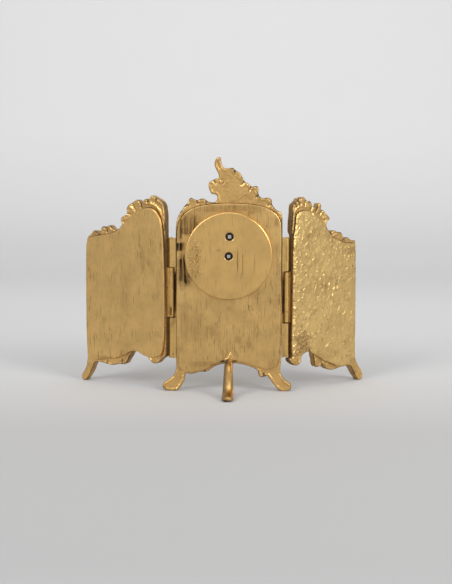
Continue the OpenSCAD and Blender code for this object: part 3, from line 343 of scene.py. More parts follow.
# %% Group: streaks left by a file
streaks, (fineness, stretch), out = new_group("file_streaks", "Streak", Fineness=900.0, Stretch=22.0)
give(out, ramp(noise_at(drawn_out(streaks, stretch), fineness, 4, 0.6), 0.3, 0.7))

# %% Group: short scratches, thick in some places and missing in others
dashes, (fineness, stretch, threshold, patch, cover), out = new_group(
    "short_scratches", "Scratch", Fineness=900.0, Stretch=5.0, Threshold=0.64, Patch=55.0, Patch_cover=0.5)
mark = ramp(noise_at(drawn_out(dashes, stretch), fineness, 1.5, 0.5), threshold, threshold + 0.09)
wide = noise_at(drawn_out(dashes, 1.6), patch, 2)
bare = 0.7 - cover * 0.45
give(out, mark * ramp(wide, bare - 0.08, bare + 0.08))

# %% Group: worm tracks, the thin curling lines that etching or old flux leaves
tracks, (fineness, width), out = new_group("worm_tracks", "Track", Fineness=340.0, Width=0.035)
off_middle = abs(noise_at(object_place(tracks), fineness, 2, 0.6) - 0.5)
give(out, ramp(off_middle / width, 0.3, 1.0, 1.0, 0.0))

# %% Group: soft clouds of stain
clouds, (fineness, stretch, cover), out = new_group(
    "stain_clouds", "Stain", Fineness=70.0, Stretch=1.0, Cover=0.4)
edge = 0.78 - cover * 0.5
give(out, ramp(noise_at(drawn_out(clouds, stretch), fineness, 5, 0.6), edge - 0.1, edge + 0.1))

# %% Group: darkening of hollows, side walls and gaps, partly dirt and partly painted shade
shade_and_dirt, (raggedness,), out = new_group("hollow_shade_and_dirt", "Shade and dirt", Raggedness=0.5)
hollow = shade_and_dirt.nodes.new("ShaderNodeAttribute")
hollow.attribute_name = "hollow"
rag = (noise_at(object_place(shade_and_dirt), 900) - 0.5) * raggedness
give(out, ramp(Value(hollow.outputs["Fac"]) + rag, 0.15, 0.95))

# %% Group: a soft spot with blunt corners, for stains and painted shadows that sit in one place
spot, (spot_x, spot_z, half_width, half_height), out = new_group(
    "soft_spot", "Spot", X=0.0, Z=0.0, Half_width=0.01, Half_height=0.01)
BLUNTNESS = 4.0
x, _, z = parts(object_place(spot))
across, up = abs((x - spot_x) / half_width), abs((z - spot_z) / half_height)
away = maths("POWER", maths("POWER", across, BLUNTNESS) + maths("POWER", up, BLUNTNESS), 1 / BLUNTNESS)
away = away + (noise_at(object_place(spot), 260, 4) - 0.5) * 0.8
give(out, ramp(away, 0.45, 1.15, 1.0, 0.0))
print("mark groups:", [g.name for g in bpy.data.node_groups])

# %% [markdown]
# ## The gilt finish
# One function makes every gilt material from those marks. Brown and black marks are mixed over the gold, and
# each mark also makes the surface rougher and a little lower, because a stain is dull and a pit is a real
# hole. The gold keeps a metallic value of 1, and only the darkening of hollows and walls, partly dirt and
# partly painted shade, takes it down.

# %% Gilt material
BROWN = (0.21, 0.115, 0.04)
NEAR_BLACK = (0.034, 0.021, 0.011)


def spot_at(tree, x, z, half_w, half_h):
    """A soft spot at a place in millimetres."""
    return use_group(tree, spot, X=x * MM, Z=z * MM, Half_width=half_w * MM, Half_height=half_h * MM)


def gilt(name, colour, roughness, streak=0.3, scratch=0.5, scratch_size=(900, 5), threshold=0.64, cover=0.5,
         fine=0.0, stain=0.3, stain_size=(70, 1), stained=0.4, mottle=0.2, lumps=0.3, lump_size=320, spots=(),
         worn=None, track=0.0, relief=0.00006):
    """Gilt brass. streak, scratch, fine, stain, mottle, lumps and track say how strong each mark is.
    spots are brown patches, stains and some painted shadows: (x, z, half width, half height, strength) in mm.
    worn is the place of worm tracks."""
    material, tree, surface = new_material(name)
    lines = use_group(tree, streaks, Fineness=1500, Stretch=16)
    marks = use_group(tree, dashes, Fineness=scratch_size[0], Stretch=scratch_size[1], Threshold=threshold,
                      Patch_cover=cover)
    hairs = use_group(tree, dashes, Fineness=1700, Stretch=12, Threshold=0.6, Patch=50, Patch_cover=0.7)
    hairs = hairs * fine
    brown = use_group(tree, clouds, Fineness=stain_size[0], Stretch=stain_size[1], Cover=stained) * stain
    # Hollows, side walls, gaps and key holes are darkened here, partly as dirt and partly as painted shade.
    shade_and_filth = use_group(tree, shade_and_dirt)
    for *where, strength in spots:
        brown = maths("MAXIMUM", brown, spot_at(tree, *where) * strength)
    brown = brown * ramp(use_group(tree, streaks, Fineness=850, Stretch=13), 0.0, 1.0, 0.7, 1.0)
    worms = use_group(tree, tracks) * track
    if worn:
        worms = worms * spot_at(tree, *worn)
    cloudy = ramp(noise_at(object_place(tree), 95, 5, 0.62), 0.3, 0.7)
    darker, lighter = tuple(c * 0.78 for c in colour), tuple(min(1.0, c * 1.14) for c in colour)
    gold = mixed(1 - mottle, mixed(cloudy, darker, lighter), colour)
    scratches = maths("MULTIPLY", marks, scratch, clamp=True)
    for share, tone in ((lines * (0.5 * streak), darker), (brown, BROWN),
                        (ramp(brown, 0.6, 0.95), NEAR_BLACK), (hairs, NEAR_BLACK), (scratches, NEAR_BLACK),
                        (maths("MULTIPLY", worms, 0.8, clamp=True), BROWN), (shade_and_filth * 0.94, NEAR_BLACK)):
        gold = mixed(share, gold, tone)
    give(surface["Base Color"], gold)
    dull = cloudy * (-0.10 * mottle) + brown * 0.25 + shade_and_filth * 0.35
    give(surface["Roughness"], maths("ADD", dull, roughness, clamp=True))
    give(surface["Metallic"], 1.0 - shade_and_filth * 0.7)
    height = noise_at(object_place(tree), lump_size, 3, 0.5) * (lumps * 6)
    height = height - lines * (0.3 * streak) - marks * (1.2 * scratch) - hairs + worms * 1.6
    add_bump(surface, height, relief)
    return material


GOLD = (0.745, 0.478, 0.178)
WARM_GOLD = (0.69, 0.43, 0.155)
casting_gilt = gilt(
    "gilt_casting", WARM_GOLD, 0.38, streak=0.1, scratch=0.4, scratch_size=(1000, 1.3), threshold=0.66,
    cover=0.45, stain=0.45, stain_size=(170, 1), stained=0.35, mottle=0.8, lumps=1.0, lump_size=640,
    spots=((6.6, 129.4, 1.6, 3, 0.4), (37, 1.4, 1.8, 1.6, 0.6), (-35, 1.4, 1.6, 1.4, 0.4),
           (-9, 110, 5, 2, 0.3)))
# The spots at (3.2, 17.2) and (-3.4, 17.4) are painted shadow beside the top of the strut, where it meets the
# plate.
plate_gilt = gilt(
    "gilt_back_plate", GOLD, 0.38, streak=0.4, scratch=0.36, scratch_size=(1050, 6), threshold=0.625,
    fine=0.36, stain=0.42, stain_size=(110, 1.5), stained=0.42, mottle=0.75,
    spots=((27.4, 82.0, 3.0, 3.6, 1.0), (25.0, 69.5, 4.8, 11.5, 0.96), (0, 103.6, 24, 2.6, 0.6),
           (22.5, 95.5, 9, 6.5, 0.8), (24, 91, 5.5, 3.2, 0.86), (27.4, 90, 2, 6, 0.8),
           (-12, 101.5, 3, 1.4, 0.7), (-26.6, 96, 1.6, 3, 0.6), (15, 15.6, 9, 1.8, 0.45),
           (25, 38, 3.2, 15, 0.4), (3.2, 17.2, 2.6, 1.0, 0.95), (-3.4, 17.4, 1.6, 0.8, 0.9),
           (18, 36, 7, 13, 0.3)))
right_plate_gilt = gilt(
    "gilt_right_plate", GOLD, 0.38, streak=0.45, scratch=0.42, scratch_size=(1000, 7), threshold=0.625,
    cover=0.45, fine=0.36, stain=0.4, stain_size=(110, 1.6), stained=0.3, mottle=0.65, lumps=0.25,
    spots=((72, 15, 6, 1.4, 0.5), (60, 55, 4, 18, 0.25)))
left_plate_gilt = gilt(
    "gilt_left_plate", (0.79, 0.538, 0.21), 0.37, streak=0.15, scratch=0.45, scratch_size=(720, 1.5),
    threshold=0.62, cover=0.45, stain=0.4, stain_size=(190, 1.3), stained=0.34, mottle=0.8, lumps=1.9,
    lump_size=400, spots=((-42, 26, 5, 8, 0.5), (-70, 78, 6, 2.5, 0.4)), worn=(-42, 26, 7, 9), track=1.0)
cover_gilt = gilt(
    "gilt_cover", (0.75, 0.477, 0.17), 0.34, scratch=0.35, scratch_size=(700, 9), threshold=0.66, cover=0.3,
    fine=0.2, stain=0.4, stain_size=(90, 1.4), stained=0.25, mottle=0.5, lumps=0.12,
    spots=((19, 74.8, 4, 13, 0.28), (-5, 75, 0.35, 8, 0.75), (-7.8, 73, 0.35, 8, 0.65),
           (-14.5, 74, 0.3, 7, 0.5), (6, 80.6, 1.6, 0.6, 0.5)),
    worn=(19, 74.8, 4.4, 14), track=1.0)
panel_gilt = gilt("gilt_panel", (0.76, 0.5, 0.17), 0.42, streak=0.0, scratch=0.1, stain=0.25, lump_size=900)
bezel_gilt = gilt("gilt_bezel", (0.80, 0.54, 0.2), 0.24, streak=0.05, scratch=0.1, stain=0.15, lumps=0.1)
# Painted shade on the hinges: dark lines across the knuckles where they meet, and dark strips at x = 30.5 and
# -30.5 for the shadow in the slot beside each middle knuckle.
KNUCKLE_JOINT_SHADOWS = [(side * 32.4, z, 2.6, 0.5, 1.0) for side, levels in ((1, (42, 70.3)), (-1, (39, 68)))
          for z in levels]
hinge_gilt = gilt(
    "gilt_hinge", (0.74, 0.48, 0.17), 0.34, streak=0.4, scratch=0.7, scratch_size=(900, 2), threshold=0.62,
    stain=0.5, stain_size=(180, 2), mottle=0.6, lumps=0.4,
    spots=(*KNUCKLE_JOINT_SHADOWS, (33, 46, 1.1, 3.2, 0.9), (32.6, 67, 1.0, 2, 0.6), (32.8, 43.6, 0.8, 0.8, 1.0),
           (-30.5, 53.5, 0.9, 16, 1.0), (30.5, 56.2, 0.9, 15.6, 1.0), (-32.4, 79, 0.7, 6, 0.6)))
strut_gilt = gilt(
    "gilt_strut", (0.47, 0.295, 0.105), 0.33, streak=0.1, scratch=0.4, scratch_size=(1000, 1.5),
    threshold=0.66, stain=0.45, stain_size=(160, 1), stained=0.45, mottle=0.6)
print("gilt materials:", len(bpy.data.materials))

# %% [markdown]
# ## Steel, enamel and glass
# The arbors are polished steel, the screws and hands are blued by heat, the springs are grey. The dial is
# cream enamel under clear domed glass. These need less work than the gilt, but each still has its own
# fine unevenness, so that no surface is one flat colour.

# %% Other materials
HOLE_SHADE_BLACK = (0.012, 0.008, 0.004)
HOLE_SHADE_EDGE = 0.06 * MM


def simple(name, colour, other, roughness, metallic, fineness, bump_depth=0.00001, stretch=1.0):
    """A finish that drifts between two near colours, with a fine unevenness."""
    material, tree, surface = new_material(name)
    drift = use_group(tree, streaks, Fineness=fineness, Stretch=stretch)
    give(surface["Base Color"], mixed(drift, colour, other))
    give(surface["Roughness"], drift * 0.08 + roughness)
    give(surface["Metallic"], metallic)
    add_bump(surface, drift, bump_depth)
    return material


def hole_shaded(material, name, x, z, half, outside):
    """A copy of a finish painted black inside or outside a square round an axis, as painted shade in a key
    hole.
    """
    copy = material.copy()
    copy.name = name
    tree = copy.node_tree
    surface = tree.nodes["Principled BSDF"].inputs
    at_x, _, at_z = parts(object_place(tree))
    away = maths("MAXIMUM", abs(at_x - x * MM), abs(at_z - z * MM))
    shade_inside, shade_outside = (0.0, 1.0) if outside else (1.0, 0.0)
    hole_shade = ramp(away, half * MM - HOLE_SHADE_EDGE, half * MM + HOLE_SHADE_EDGE, shade_inside, shade_outside)
    metal = Value(surface["Base Color"].links[0].from_socket)
    give(surface["Base Color"], mixed(hole_shade, metal, HOLE_SHADE_BLACK))
    give(surface["Metallic"], 1.0 - hole_shade * 0.95)
    return copy


movement_brass = simple("movement_brass", (0.70, 0.50, 0.22), (0.60, 0.41, 0.17), 0.32, 1, 900, stretch=9)
wheel_brass = simple("wheel_brass", (0.78, 0.57, 0.26), (0.70, 0.50, 0.21), 0.22, 1, 700)
steel = simple("steel", (0.64, 0.60, 0.53), (0.50, 0.47, 0.42), 0.22, 1, 1200, stretch=0.3)
pin_steel = simple("pin_steel", (0.30, 0.27, 0.22), (0.18, 0.15, 0.11), 0.42, 1, 900)
spring_steel = simple("spring_steel", (0.34, 0.36, 0.40), (0.26, 0.28, 0.32), 0.3, 1, 800)
blued_steel = simple("blued_steel", (0.03, 0.05, 0.20), (0.05, 0.05, 0.26), 0.18, 1, 500)
enamel = simple("enamel", (0.86, 0.83, 0.74), (0.83, 0.79, 0.69), 0.12, 0, 130, 0.000004)
numeral_black = simple("numeral_black", (0.015, 0.014, 0.013), (0.03, 0.028, 0.025), 0.25, 0, 600)
glass, _, surface = new_material("clear_glass")
for label, v in (("Base Color", (0.98, 0.99, 0.98)), ("Roughness", 0.02), ("IOR", 1.5),
                 ("Transmission Weight", 1.0)):
    give(surface[label], v)

SLOT_MATERIALS = {
    "gilt_casting": casting_gilt, "gilt_back_plate": plate_gilt, "gilt_cover": cover_gilt,
    "gilt_panel": panel_gilt, "gilt_bezel": bezel_gilt, "hinge_brass": hinge_gilt,
    "movement_brass": movement_brass, "wheel_brass": wheel_brass, "steel": steel, "pin_steel": pin_steel,
    "spring_steel": spring_steel, "blued_steel": blued_steel, "enamel": enamel, "glass": glass}
for part in frame["record"]["subparts"]:
    for held in nodes[part["node"]].material_slots:
        held.material = SLOT_MATERIALS[part["material_slot"]]
DRUM_Z = 77.3
WINDING_AT, SETTING_AT = (-0.4954, 88.2088), (0, DRUM_Z)
# Seen through the key holes, all but the square ends of the arbors is painted black as shade.
for name, finish, at, half, outside in (
        ("winding_arbor", steel, WINDING_AT, 0.9, True), ("ratchet_wheel", steel, WINDING_AT, 2.6, False),
        ("centre_arbor", steel, SETTING_AT, 0.85, True),
        ("rear_movement_plate", movement_brass, SETTING_AT, 2.6, False)):
    nodes[name].material_slots[0].material = hole_shaded(finish, name + "_shaded_hole", *at, half, outside)

# %% [markdown]
# ## How a casting is shaped here
# Each leaf was sawn or cast to an outline, so an outline is where each piece begins. Its corners are cut
# again and again until it is a smooth curve. The inside is filled with a net of small triangles, and every
# point of the net knows how far it is from the edge. From that distance come the rounded edge, the raised
# mouldings and the carving, as height above a flat sheet.

# %% Outlines and distances, in millimetres
FAR, TINY = 1e9, 1e-12


def rounded(points, passes=3):
    """Cuts the corners of a closed outline. Three passes leave a smooth curve."""
    p = np.array(points, float)
    for _ in range(passes):
        q = np.roll(p, -1, axis=0)
        p = np.stack([0.75 * p + 0.25 * q, 0.25 * p + 0.75 * q], 1).reshape(-1, 2)
    return p


def walked(line):
    """How far along an open line each of its points is."""
    return np.r_[0, np.cumsum(np.linalg.norm(np.diff(line, axis=0), axis=1))]


def points_at(line, at):
    """The places on an open line at given distances along it."""
    return np.stack([np.interp(at, walked(line), line[:, k]) for k in (0, 1)], 1)


def stepped(loop, step):
    """Walks round a closed outline and puts a point about every step."""
    closed = np.vstack([loop, loop[:1]])
    length = walked(closed)[-1]
    return points_at(closed, np.linspace(0, length, max(12, round(length / step)), endpoint=False))


def along(points, line):
    """For each point, its distance to an open line, and how far along (0 to 1) the nearest place is."""
    a, b = line[:-1], line[1:]
    d = b - a
    length = np.linalg.norm(d, axis=1)
    start = np.r_[0, np.cumsum(length)[:-1]] / length.sum()
    best, where = np.full(len(points), FAR), np.zeros(len(points))
    for i in range(len(a)):
        t = np.clip(((points - a[i]) @ d[i]) / (length[i] ** 2 + TINY), 0, 1)
        away = np.hypot(*(points - a[i] - t[:, None] * d[i]).T)
        nearer = away < best
        best[nearer] = away[nearer]
        where[nearer] = (start[i] + t * length[i] / length.sum())[nearer]
    return best, where


def edge_distance(points, loop):
    """Distance of each point to a closed outline."""
    return along(points, np.vstack([loop, loop[:1]]))[0]


def within(points, loop):
    """True for each point inside a closed outline."""
    x, z = points.T
    crossed = np.zeros(len(points), bool)
    for (x0, z0), (x1, z1) in zip(loop, np.roll(loop, -1, axis=0)):
        if z0 != z1:
            crossed ^= ((z0 > z) != (z1 > z)) & (x < (x1 - x0) * (z - z0) / (z1 - z0) + x0)
    return crossed


def normals(loop):
    """The unit normal at each point of a closed outline."""
    step = np.roll(loop, -1, axis=0) - np.roll(loop, 1, axis=0)
    return np.stack([-step[:, 1], step[:, 0]], 1) / np.linalg.norm(step, axis=1)[:, None]


def circle(r, x=0.0, z=0.0, n=120):
    """A round outline."""
    a = np.linspace(0, 2 * math.pi, n, endpoint=False)
    return np.stack([x + r * np.cos(a), z + r * np.sin(a)], 1)


def smoothed(value, low, high):
    """0 below low, 1 above high, smooth between."""
    t = np.clip((value - low) / (high - low), 0, 1)
    return t * t * (3 - 2 * t)


def hump(value, width, middle=0.0):
    """1 at the middle, falling softly to 0 on both sides."""
    return np.exp(-((value - middle) / width) ** 2)


def dome(value, middle, half):
    """The height of a half-round moulding, from 0 to 1."""
    return np.sqrt(np.clip(1 - ((value - middle) / half) ** 2, 0, 1))


def ripple(points, size, seed=0.0):
    """A smooth random height from -1 to 1, with lumps of about the given size."""
    return np.array([noise.noise(Vector((x / size, z / size, seed))) for x, z in points])


# %% The three places of a leaf
HINGE_X, HINGE_Y = 32.4, -2.5
RIGHT_FOLD, LEFT_FOLD = math.radians(30), math.radians(40)


def on_centre(u, y, z):
    """Drawing coordinates of the centre leaf are the frame's own, with the casting's back at y = 0."""
    return np.stack([u, y, z], 1) * MM


def on_wing(side, fold):
    """A wing is drawn outward from its hinge, then folded toward the front. side is 1 for the right."""
    c, s = math.cos(fold), math.sin(fold)

    def place(u, y, z):
        v = y - HINGE_Y
        return np.stack([side * (HINGE_X + u * c + v * s), HINGE_Y - u * s + v * c, z], 1) * MM
    return place


on_right, on_left = on_wing(1, RIGHT_FOLD), on_wing(-1, LEFT_FOLD)


def loop_at(place, loop, y):
    """An outline at one height, put in its place."""
    return place(loop[:, 0], np.full(len(loop), y), loop[:, 1])


print("hinges", HINGE_X, "mm from the middle, wings folded by",
      *(round(math.degrees(fold)) for fold in (RIGHT_FOLD, LEFT_FOLD)), "degrees")


# %% A solid between two carved faces
SAME_PLACE = 2e-7


def finish_piece(name, points, faces, body, material, slot, replaces=(), hollow=None, smooth=True):
    """Makes a closed mesh with outward faces into a piece that rides on a body."""
    mesh = bpy.data.meshes.new(name)
    mesh.from_pydata([tuple(p) for p in points], [], [tuple(f) for f in faces])
    mesh.validate()
    if hollow is not None:
        mesh.attributes.new("hollow", "FLOAT", "POINT").data.foreach_set("value", np.float32(hollow))
    work = bmesh.new()
    work.from_mesh(mesh)
    bmesh.ops.remove_doubles(work, verts=work.verts, dist=SAME_PLACE)
    bmesh.ops.recalc_face_normals(work, faces=work.faces)
    work.to_mesh(mesh)
    work.free()
    if smooth:
        mesh.shade_smooth()
    mesh.materials.append(material)
    piece = linked(name, mesh)
    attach(piece, body)
    if replaces:
        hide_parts(*replaces)
    print(name, len(mesh.polygons), "faces")


WALL_SHARES = (0.1, 0.5, 0.9)
LOOP_STEP, ROW_STEP = 0.75, 0.866
BORDER_ROWS = (0.12, 0.45, 1.0)
GRID_START = 1.45
ROOM_SHARE = 0.93
FILL_INSIDE, NET_TOLERANCE = 1, 1e-5


def net(outer, holes, spacing, edge, extra=()):
    """Fills an outline with small triangles. extra are loops that get points of their own.
    Returns points, triangles, loops of indices, edge distances."""
    loops = [stepped(loop, spacing * LOOP_STEP) for loop in (outer, *holes)]

    def inside(points):
        ok = within(points, loops[0])
        for hole in loops[1:]:
            ok &= ~within(points, hole)
        return ok

    def from_edges(points):
        return np.min([edge_distance(points, loop) for loop in loops], axis=0)

    low, high = loops[0].min(0), loops[0].max(0)
    rows = np.arange(low[1], high[1], spacing * ROW_STEP)
    grid = np.array([(x + spacing / 2 * (k % 2), z) for k, z in enumerate(rows)
                     for x in np.arange(low[0], high[0], spacing)])
    fill = []
    for loop in loops:
        for share in BORDER_ROWS:
            for side in (1, -1):
                fill.append((loop + side * normals(loop) * edge * share, share))
    kept = []
    for points, share in fill + [(grid, GRID_START)] + [(loop, 0) for loop in extra]:
        points = points[inside(points)]
        kept.append(points[from_edges(points) > ROOM_SHARE * share * edge])
    points = np.vstack(loops + kept)
    links, rings, n = [], [], 0
    for loop in loops:
        ring = list(range(n, n + len(loop)))
        links += list(zip(ring, ring[1:] + ring[:1]))
        rings.append(ring)
        n += len(loop)
    flat, _, triangles, original = delaunay_2d_cdt([Vector(p) for p in points], links, [], FILL_INSIDE,
                                                   NET_TOLERANCE)[:4]
    first = {source: i for i, sources in enumerate(original) for source in sources}
    flat, triangles = np.array(flat), np.array(triangles)
    rings = [[first[i] for i in ring] for ring in rings]
    away = from_edges(flat)
    for ring in rings:
        away[ring] = 0
    return flat, triangles[inside(flat[triangles].mean(1))], rings, away


def quarter_round(away, edge):
    """How far a rounded edge falls at a distance from the edge."""
    return edge - np.sqrt(np.maximum(0, edge ** 2 - (edge - np.minimum(away, edge)) ** 2))


def carved_solid(outer, holes, front, rear, place, spacing=0.7, edge=0.45, walls=None, soft=True, extra=()):
    """A solid whose front and rear heights are functions of (points, distance to the edge).
    Each returns y in millimetres and how hollow the surface is, a darkening that is partly painted shade.
    walls gives the painted shade of the side walls.
    Returns points, faces, hollows."""
    flat, triangles, rings, away = net(outer, holes, spacing, edge, extra)
    fall = quarter_round(away, edge) if soft else 0.0
    front_y, front_hollow = front(flat, away)
    rear_y, rear_hollow = rear(flat, away)
    front_y, rear_y = front_y + fall, rear_y - fall
    n = len(flat)
    points = [place(flat[:, 0], front_y, flat[:, 1]), place(flat[:, 0], rear_y, flat[:, 1])]
    hollows = [front_hollow, rear_hollow]
    faces = [tuple(t) for t in triangles] + [tuple(t + n) for t in triangles]
    start = 2 * n
    for ring in rings:
        ring = np.array(ring)
        count = len(ring)
        rows = [ring]
        for share in WALL_SHARES:
            y = front_y[ring] * (1 - share) + rear_y[ring] * share
            points.append(place(flat[ring, 0], y, flat[ring, 1]))
            hollows.append(walls(flat[ring]) if walls else np.zeros(count))
            rows.append(np.arange(start, start + count))
            start += count
        rows.append(ring + n)
        for a, b in zip(rows, rows[1:]):
            faces += [(a[i], a[(i + 1) % count], b[(i + 1) % count], b[i]) for i in range(count)]
    return np.vstack(points), faces, np.concatenate(hollows)


def carved_piece(name, body, material, slot, replaces, shape, with_shade=True, **options):
    """Makes a carved solid into a piece. shape is (outer, holes, front, rear, place)."""
    points, faces, hollows = carved_solid(*shape, **options)
    finish_piece(name, points, faces, body, material, slot, replaces, hollows if with_shade else None)


def flat_at(y):
    """A flat clean face at one height."""
    def face(points, away):
        return np.full(len(points), float(y)), np.zeros(len(points))
    return face


# %% [markdown]
# ## Carving
# Rococo ornament is made of a few strokes: a bow, a curl that winds up on itself, a leaf that swells and
# narrows, and a flower of petals round a bud. Each stroke is a line with a width and a height. Where strokes
# cross, the higher one wins, as one leaf lies over another. Beside each stroke the surface is darkened,
# partly as dirt and partly as painted shade, so the carving also says how hollow each place is.

# %% Strokes of ornament
LEAF_ENDS, LEAF_FULLNESS = (0.04, 0.97), 0.65
VEIN_DEPTH, VEIN_W = 0.4, 0.16
SIDE_VEINS, SIDE_VEIN_DEPTH, SIDE_VEIN_SLANT = 9, 0.12, 0.25
PETAL_W, PETAL_FROM, PETAL_H, BUD_R = 0.36, 0.15, 0.8, 0.26
SHADE_AND_DIRT_REACH = 0.8


def open_curve(points, n):
    """A smooth open line through cut corners, at n even steps."""
    p = np.array(points, float)
    for _ in range(3):
        middle = np.stack([0.75 * p[:-1] + 0.25 * p[1:], 0.25 * p[:-1] + 0.75 * p[1:]], 1).reshape(-1, 2)
        p = np.vstack([p[:1], middle, p[-1:]])
    return points_at(p, np.linspace(0, walked(p)[-1], n))


def bow(start, end, bulge, n=12):
    """A line between two points that bows to one side."""
    a, b = np.array(start, float), np.array(end, float)
    t = np.linspace(0, 1, n)[:, None]
    side = np.array([-(b - a)[1], (b - a)[0]]) / np.linalg.norm(b - a)
    return a + (b - a) * t + side * bulge * 4 * t * (1 - t)


def curl(x, z, r0, r1, a0, a1, n=22):
    """A line that winds from radius r0 to r1 round a middle, from angle a0 to a1 in degrees."""
    a, r = np.radians(np.linspace(a0, a1, n)), np.linspace(r0, r1, n)
    return np.stack([x + r * np.cos(a), z + r * np.sin(a)], 1)


def leaf_stroke(start, end, bulge, width, height=0.9):
    return bow(start, end, bulge), (width, width), height, "leaf"


def round_stroke(line, w0, w1, height=0.8):
    return line, (w0, w1), height, "round"


def leaves(*rows):
    """Leaves. A row is x, z of the root, x, z of the tip, bulge, width and perhaps height."""
    return [leaf_stroke((x0, z0), (x1, z1), *rest) for x0, z0, x1, z1, *rest in rows]


def curls(*rows):
    """Curls. A row is x, z, two radii, two angles, two widths and perhaps height."""
    return [round_stroke(curl(*row[:6]), *row[6:]) for row in rows]


def rolls(*rows):
    """Round bows. A row is x, z, x, z, bulge, two widths and height."""
    return [round_stroke(bow((x0, z0), (x1, z1), bulge), *rest) for x0, z0, x1, z1, bulge, *rest in rows]


def flower(x, z, r, petals=5, turn=90.0, height=1.0):
    """Petals as leaves round a bud."""
    strokes = []
    for k in range(petals):
        a = math.radians(turn + 360 * k / petals)
        away = np.array([math.cos(a), math.sin(a)])
        middle = np.array([x, z])
        strokes.append(leaf_stroke(middle + away * PETAL_FROM * r, middle + away * r, 0.0, PETAL_W * r,
                                   PETAL_H * height))
    bud = np.array([[x - 0.02 * r, z], [x + 0.02 * r, z]])
    return strokes + [round_stroke(bud, BUD_R * r, BUD_R * r, height)]


def fan(x, z, r, a0, a1, ribs, width, height=0.8):
    """Ribs of a shell."""
    strokes = []
    for a in np.radians(np.linspace(a0, a1, ribs)):
        away = np.array([math.cos(a), math.sin(a)])
        strokes.append(round_stroke(np.array([(x, z) + away * 0.2 * r, (x, z) + away * r]),
                                    width * 0.5, width, height))
    return strokes


def carve(points, strokes):
    """Height of the carving at each point, and how hollow it is there."""
    height, near = np.zeros(len(points)), np.zeros(len(points))
    for line, (w0, w1), top, kind in strokes:
        reach = max(w0, w1) + 1
        close = np.all((points > line.min(0) - reach) & (points < line.max(0) + reach), axis=1)
        if not close.any():
            continue
        d, t = along(points[close], line)
        w = w0 + (w1 - w0) * t
        if kind == "leaf":
            w = w0 * np.sin(math.pi * np.clip(t, *LEAF_ENDS)) ** LEAF_FULLNESS
        share = np.clip(d / w, 0, 1)
        h = top * np.sqrt(1 - share ** 2)
        if kind == "leaf":
            side_veins = np.cos(SIDE_VEINS * math.pi * (t + SIDE_VEIN_SLANT * share))
            h *= 1 - VEIN_DEPTH * hump(d, VEIN_W * w0) - SIDE_VEIN_DEPTH * side_veins
        height[close] = np.maximum(height[close], h)
        # Beside each stroke the surface is darkened, partly as dirt and partly as painted shade.
        near[close] = np.maximum(near[close], 1 - smoothed(d, w, w + SHADE_AND_DIRT_REACH))
    return height, near * (1 - smoothed(height, 0.02, 0.4))


print("a flower of five petals has", len(flower(0, 0, 1)), "strokes")


# %% [markdown]
# ## The centre leaf
# The casting has two splayed feet, straight sides and a lopsided crest. Behind it a flat plate was soldered
# on, whose edge shows as a step all round. The outlines are the ones the CAD part uses, so casting and plate
# stay where the CAD solids are.

# %% Outlines of the centre leaf
CENTRE_OUTLINE = rounded([(24.8, 10.5), (25, 7), (26.2, 4), (28, 1.6), (29.8, 0), (35.4, 0), (37.6, 1.5),
    (37.9, 3.7), (36, 5.4), (33.2, 6.9), (31, 9.3), (29.9, 12.5), (29.9, 20), (29.9, 90),
    (29.6, 95), (28.8, 98.5), (28, 100), (27, 102), (25.5, 103.5), (25, 105), (23.5, 106), (22.5, 107.5),
    (21.8, 109.8), (20, 108.8), (18.5, 108.2), (17, 108.2), (15.8, 109), (14, 109), (13, 108), (10.5, 106.8),
    (7.5, 107), (6.5, 108.5), (6.4, 110.5), (7.5, 111.4), (9.5, 111.5), (10.7, 113), (11.4, 115.5),
    (11.3, 117.5), (10.4, 118.9), (8.8, 119), (8.2, 120.1), (6, 120), (5.6, 121), (5.8, 123), (7, 125),
    (7.9, 127), (8.1, 129), (7.4, 131), (6.2, 132), (4.5, 132), (4.5, 130), (4, 128), (3.2, 126.3),
    (2, 125.8), (0, 126), (-2.5, 126.2), (-3.5, 124.8), (-5.5, 123.9), (-7, 122), (-8, 119.5), (-9, 118.1),
    (-10.5, 117.8), (-12, 116), (-13, 115.5), (-14.5, 116.1), (-16, 115.9), (-16.6, 114.5), (-16.2, 112),
    (-16.8, 110.5), (-18, 109.5), (-19.5, 109.1), (-21, 109.7), (-22.9, 109.3), (-24.1, 108),
    (-23.8, 106.5), (-24.5, 105), (-25.5, 103.5), (-27, 102.3), (-29, 101.5), (-29.9, 99.5), (-29.9, 90),
    (-29.9, 20), (-28.9, 13), (-29.4, 9.5), (-31, 7), (-33, 5.4), (-35.3, 4.2), (-35.4, 1.5), (-33.8, 0),
    (-29.2, 0), (-27.5, 1.5), (-26, 3), (-24, 5.6), (-22.3, 8.5), (-21, 8.8), (-19, 7.9), (-17, 8.3),
    (-16.5, 12), (-14, 13.3), (-10, 14.8), (-6, 15.8), (0, 16), (5, 15.4), (9, 13.8), (11.2, 11.6),
    (14, 10.8), (17, 11.1), (20, 9.8), (23, 9.7)])
CENTRE_PLATE = rounded([(29.4, 18), (28.8, 15), (27, 12.5), (24.5, 11), (22, 10.6), (18, 11), (15, 12),
    (12, 13), (10, 14.5), (8, 15.8), (5, 16.7), (0, 17.3), (-4, 17.3), (-8, 16.8), (-12, 15.5), (-16, 14.2),
    (-20, 12.8), (-23, 12.7), (-26, 13.8), (-27.5, 16.5), (-28.6, 20), (-29.2, 50), (-29.5, 92), (-28.8, 97),
    (-27, 100), (-24, 102.5), (-20, 104.4), (-16, 105.4), (-10, 106.1), (0, 106.5), (10, 106), (16, 105.1),
    (20, 103.8), (24, 101.6), (27, 98), (28.6, 94), (29.3, 88)])
DRUM_HOLE_R = 22.75
WINDOW_ARCH_R = 27.6
arch = [(WINDOW_ARCH_R * math.cos(math.radians(a)), DRUM_Z + WINDOW_ARCH_R * math.sin(math.radians(a)))
        for a in range(-39, -142, -6)]
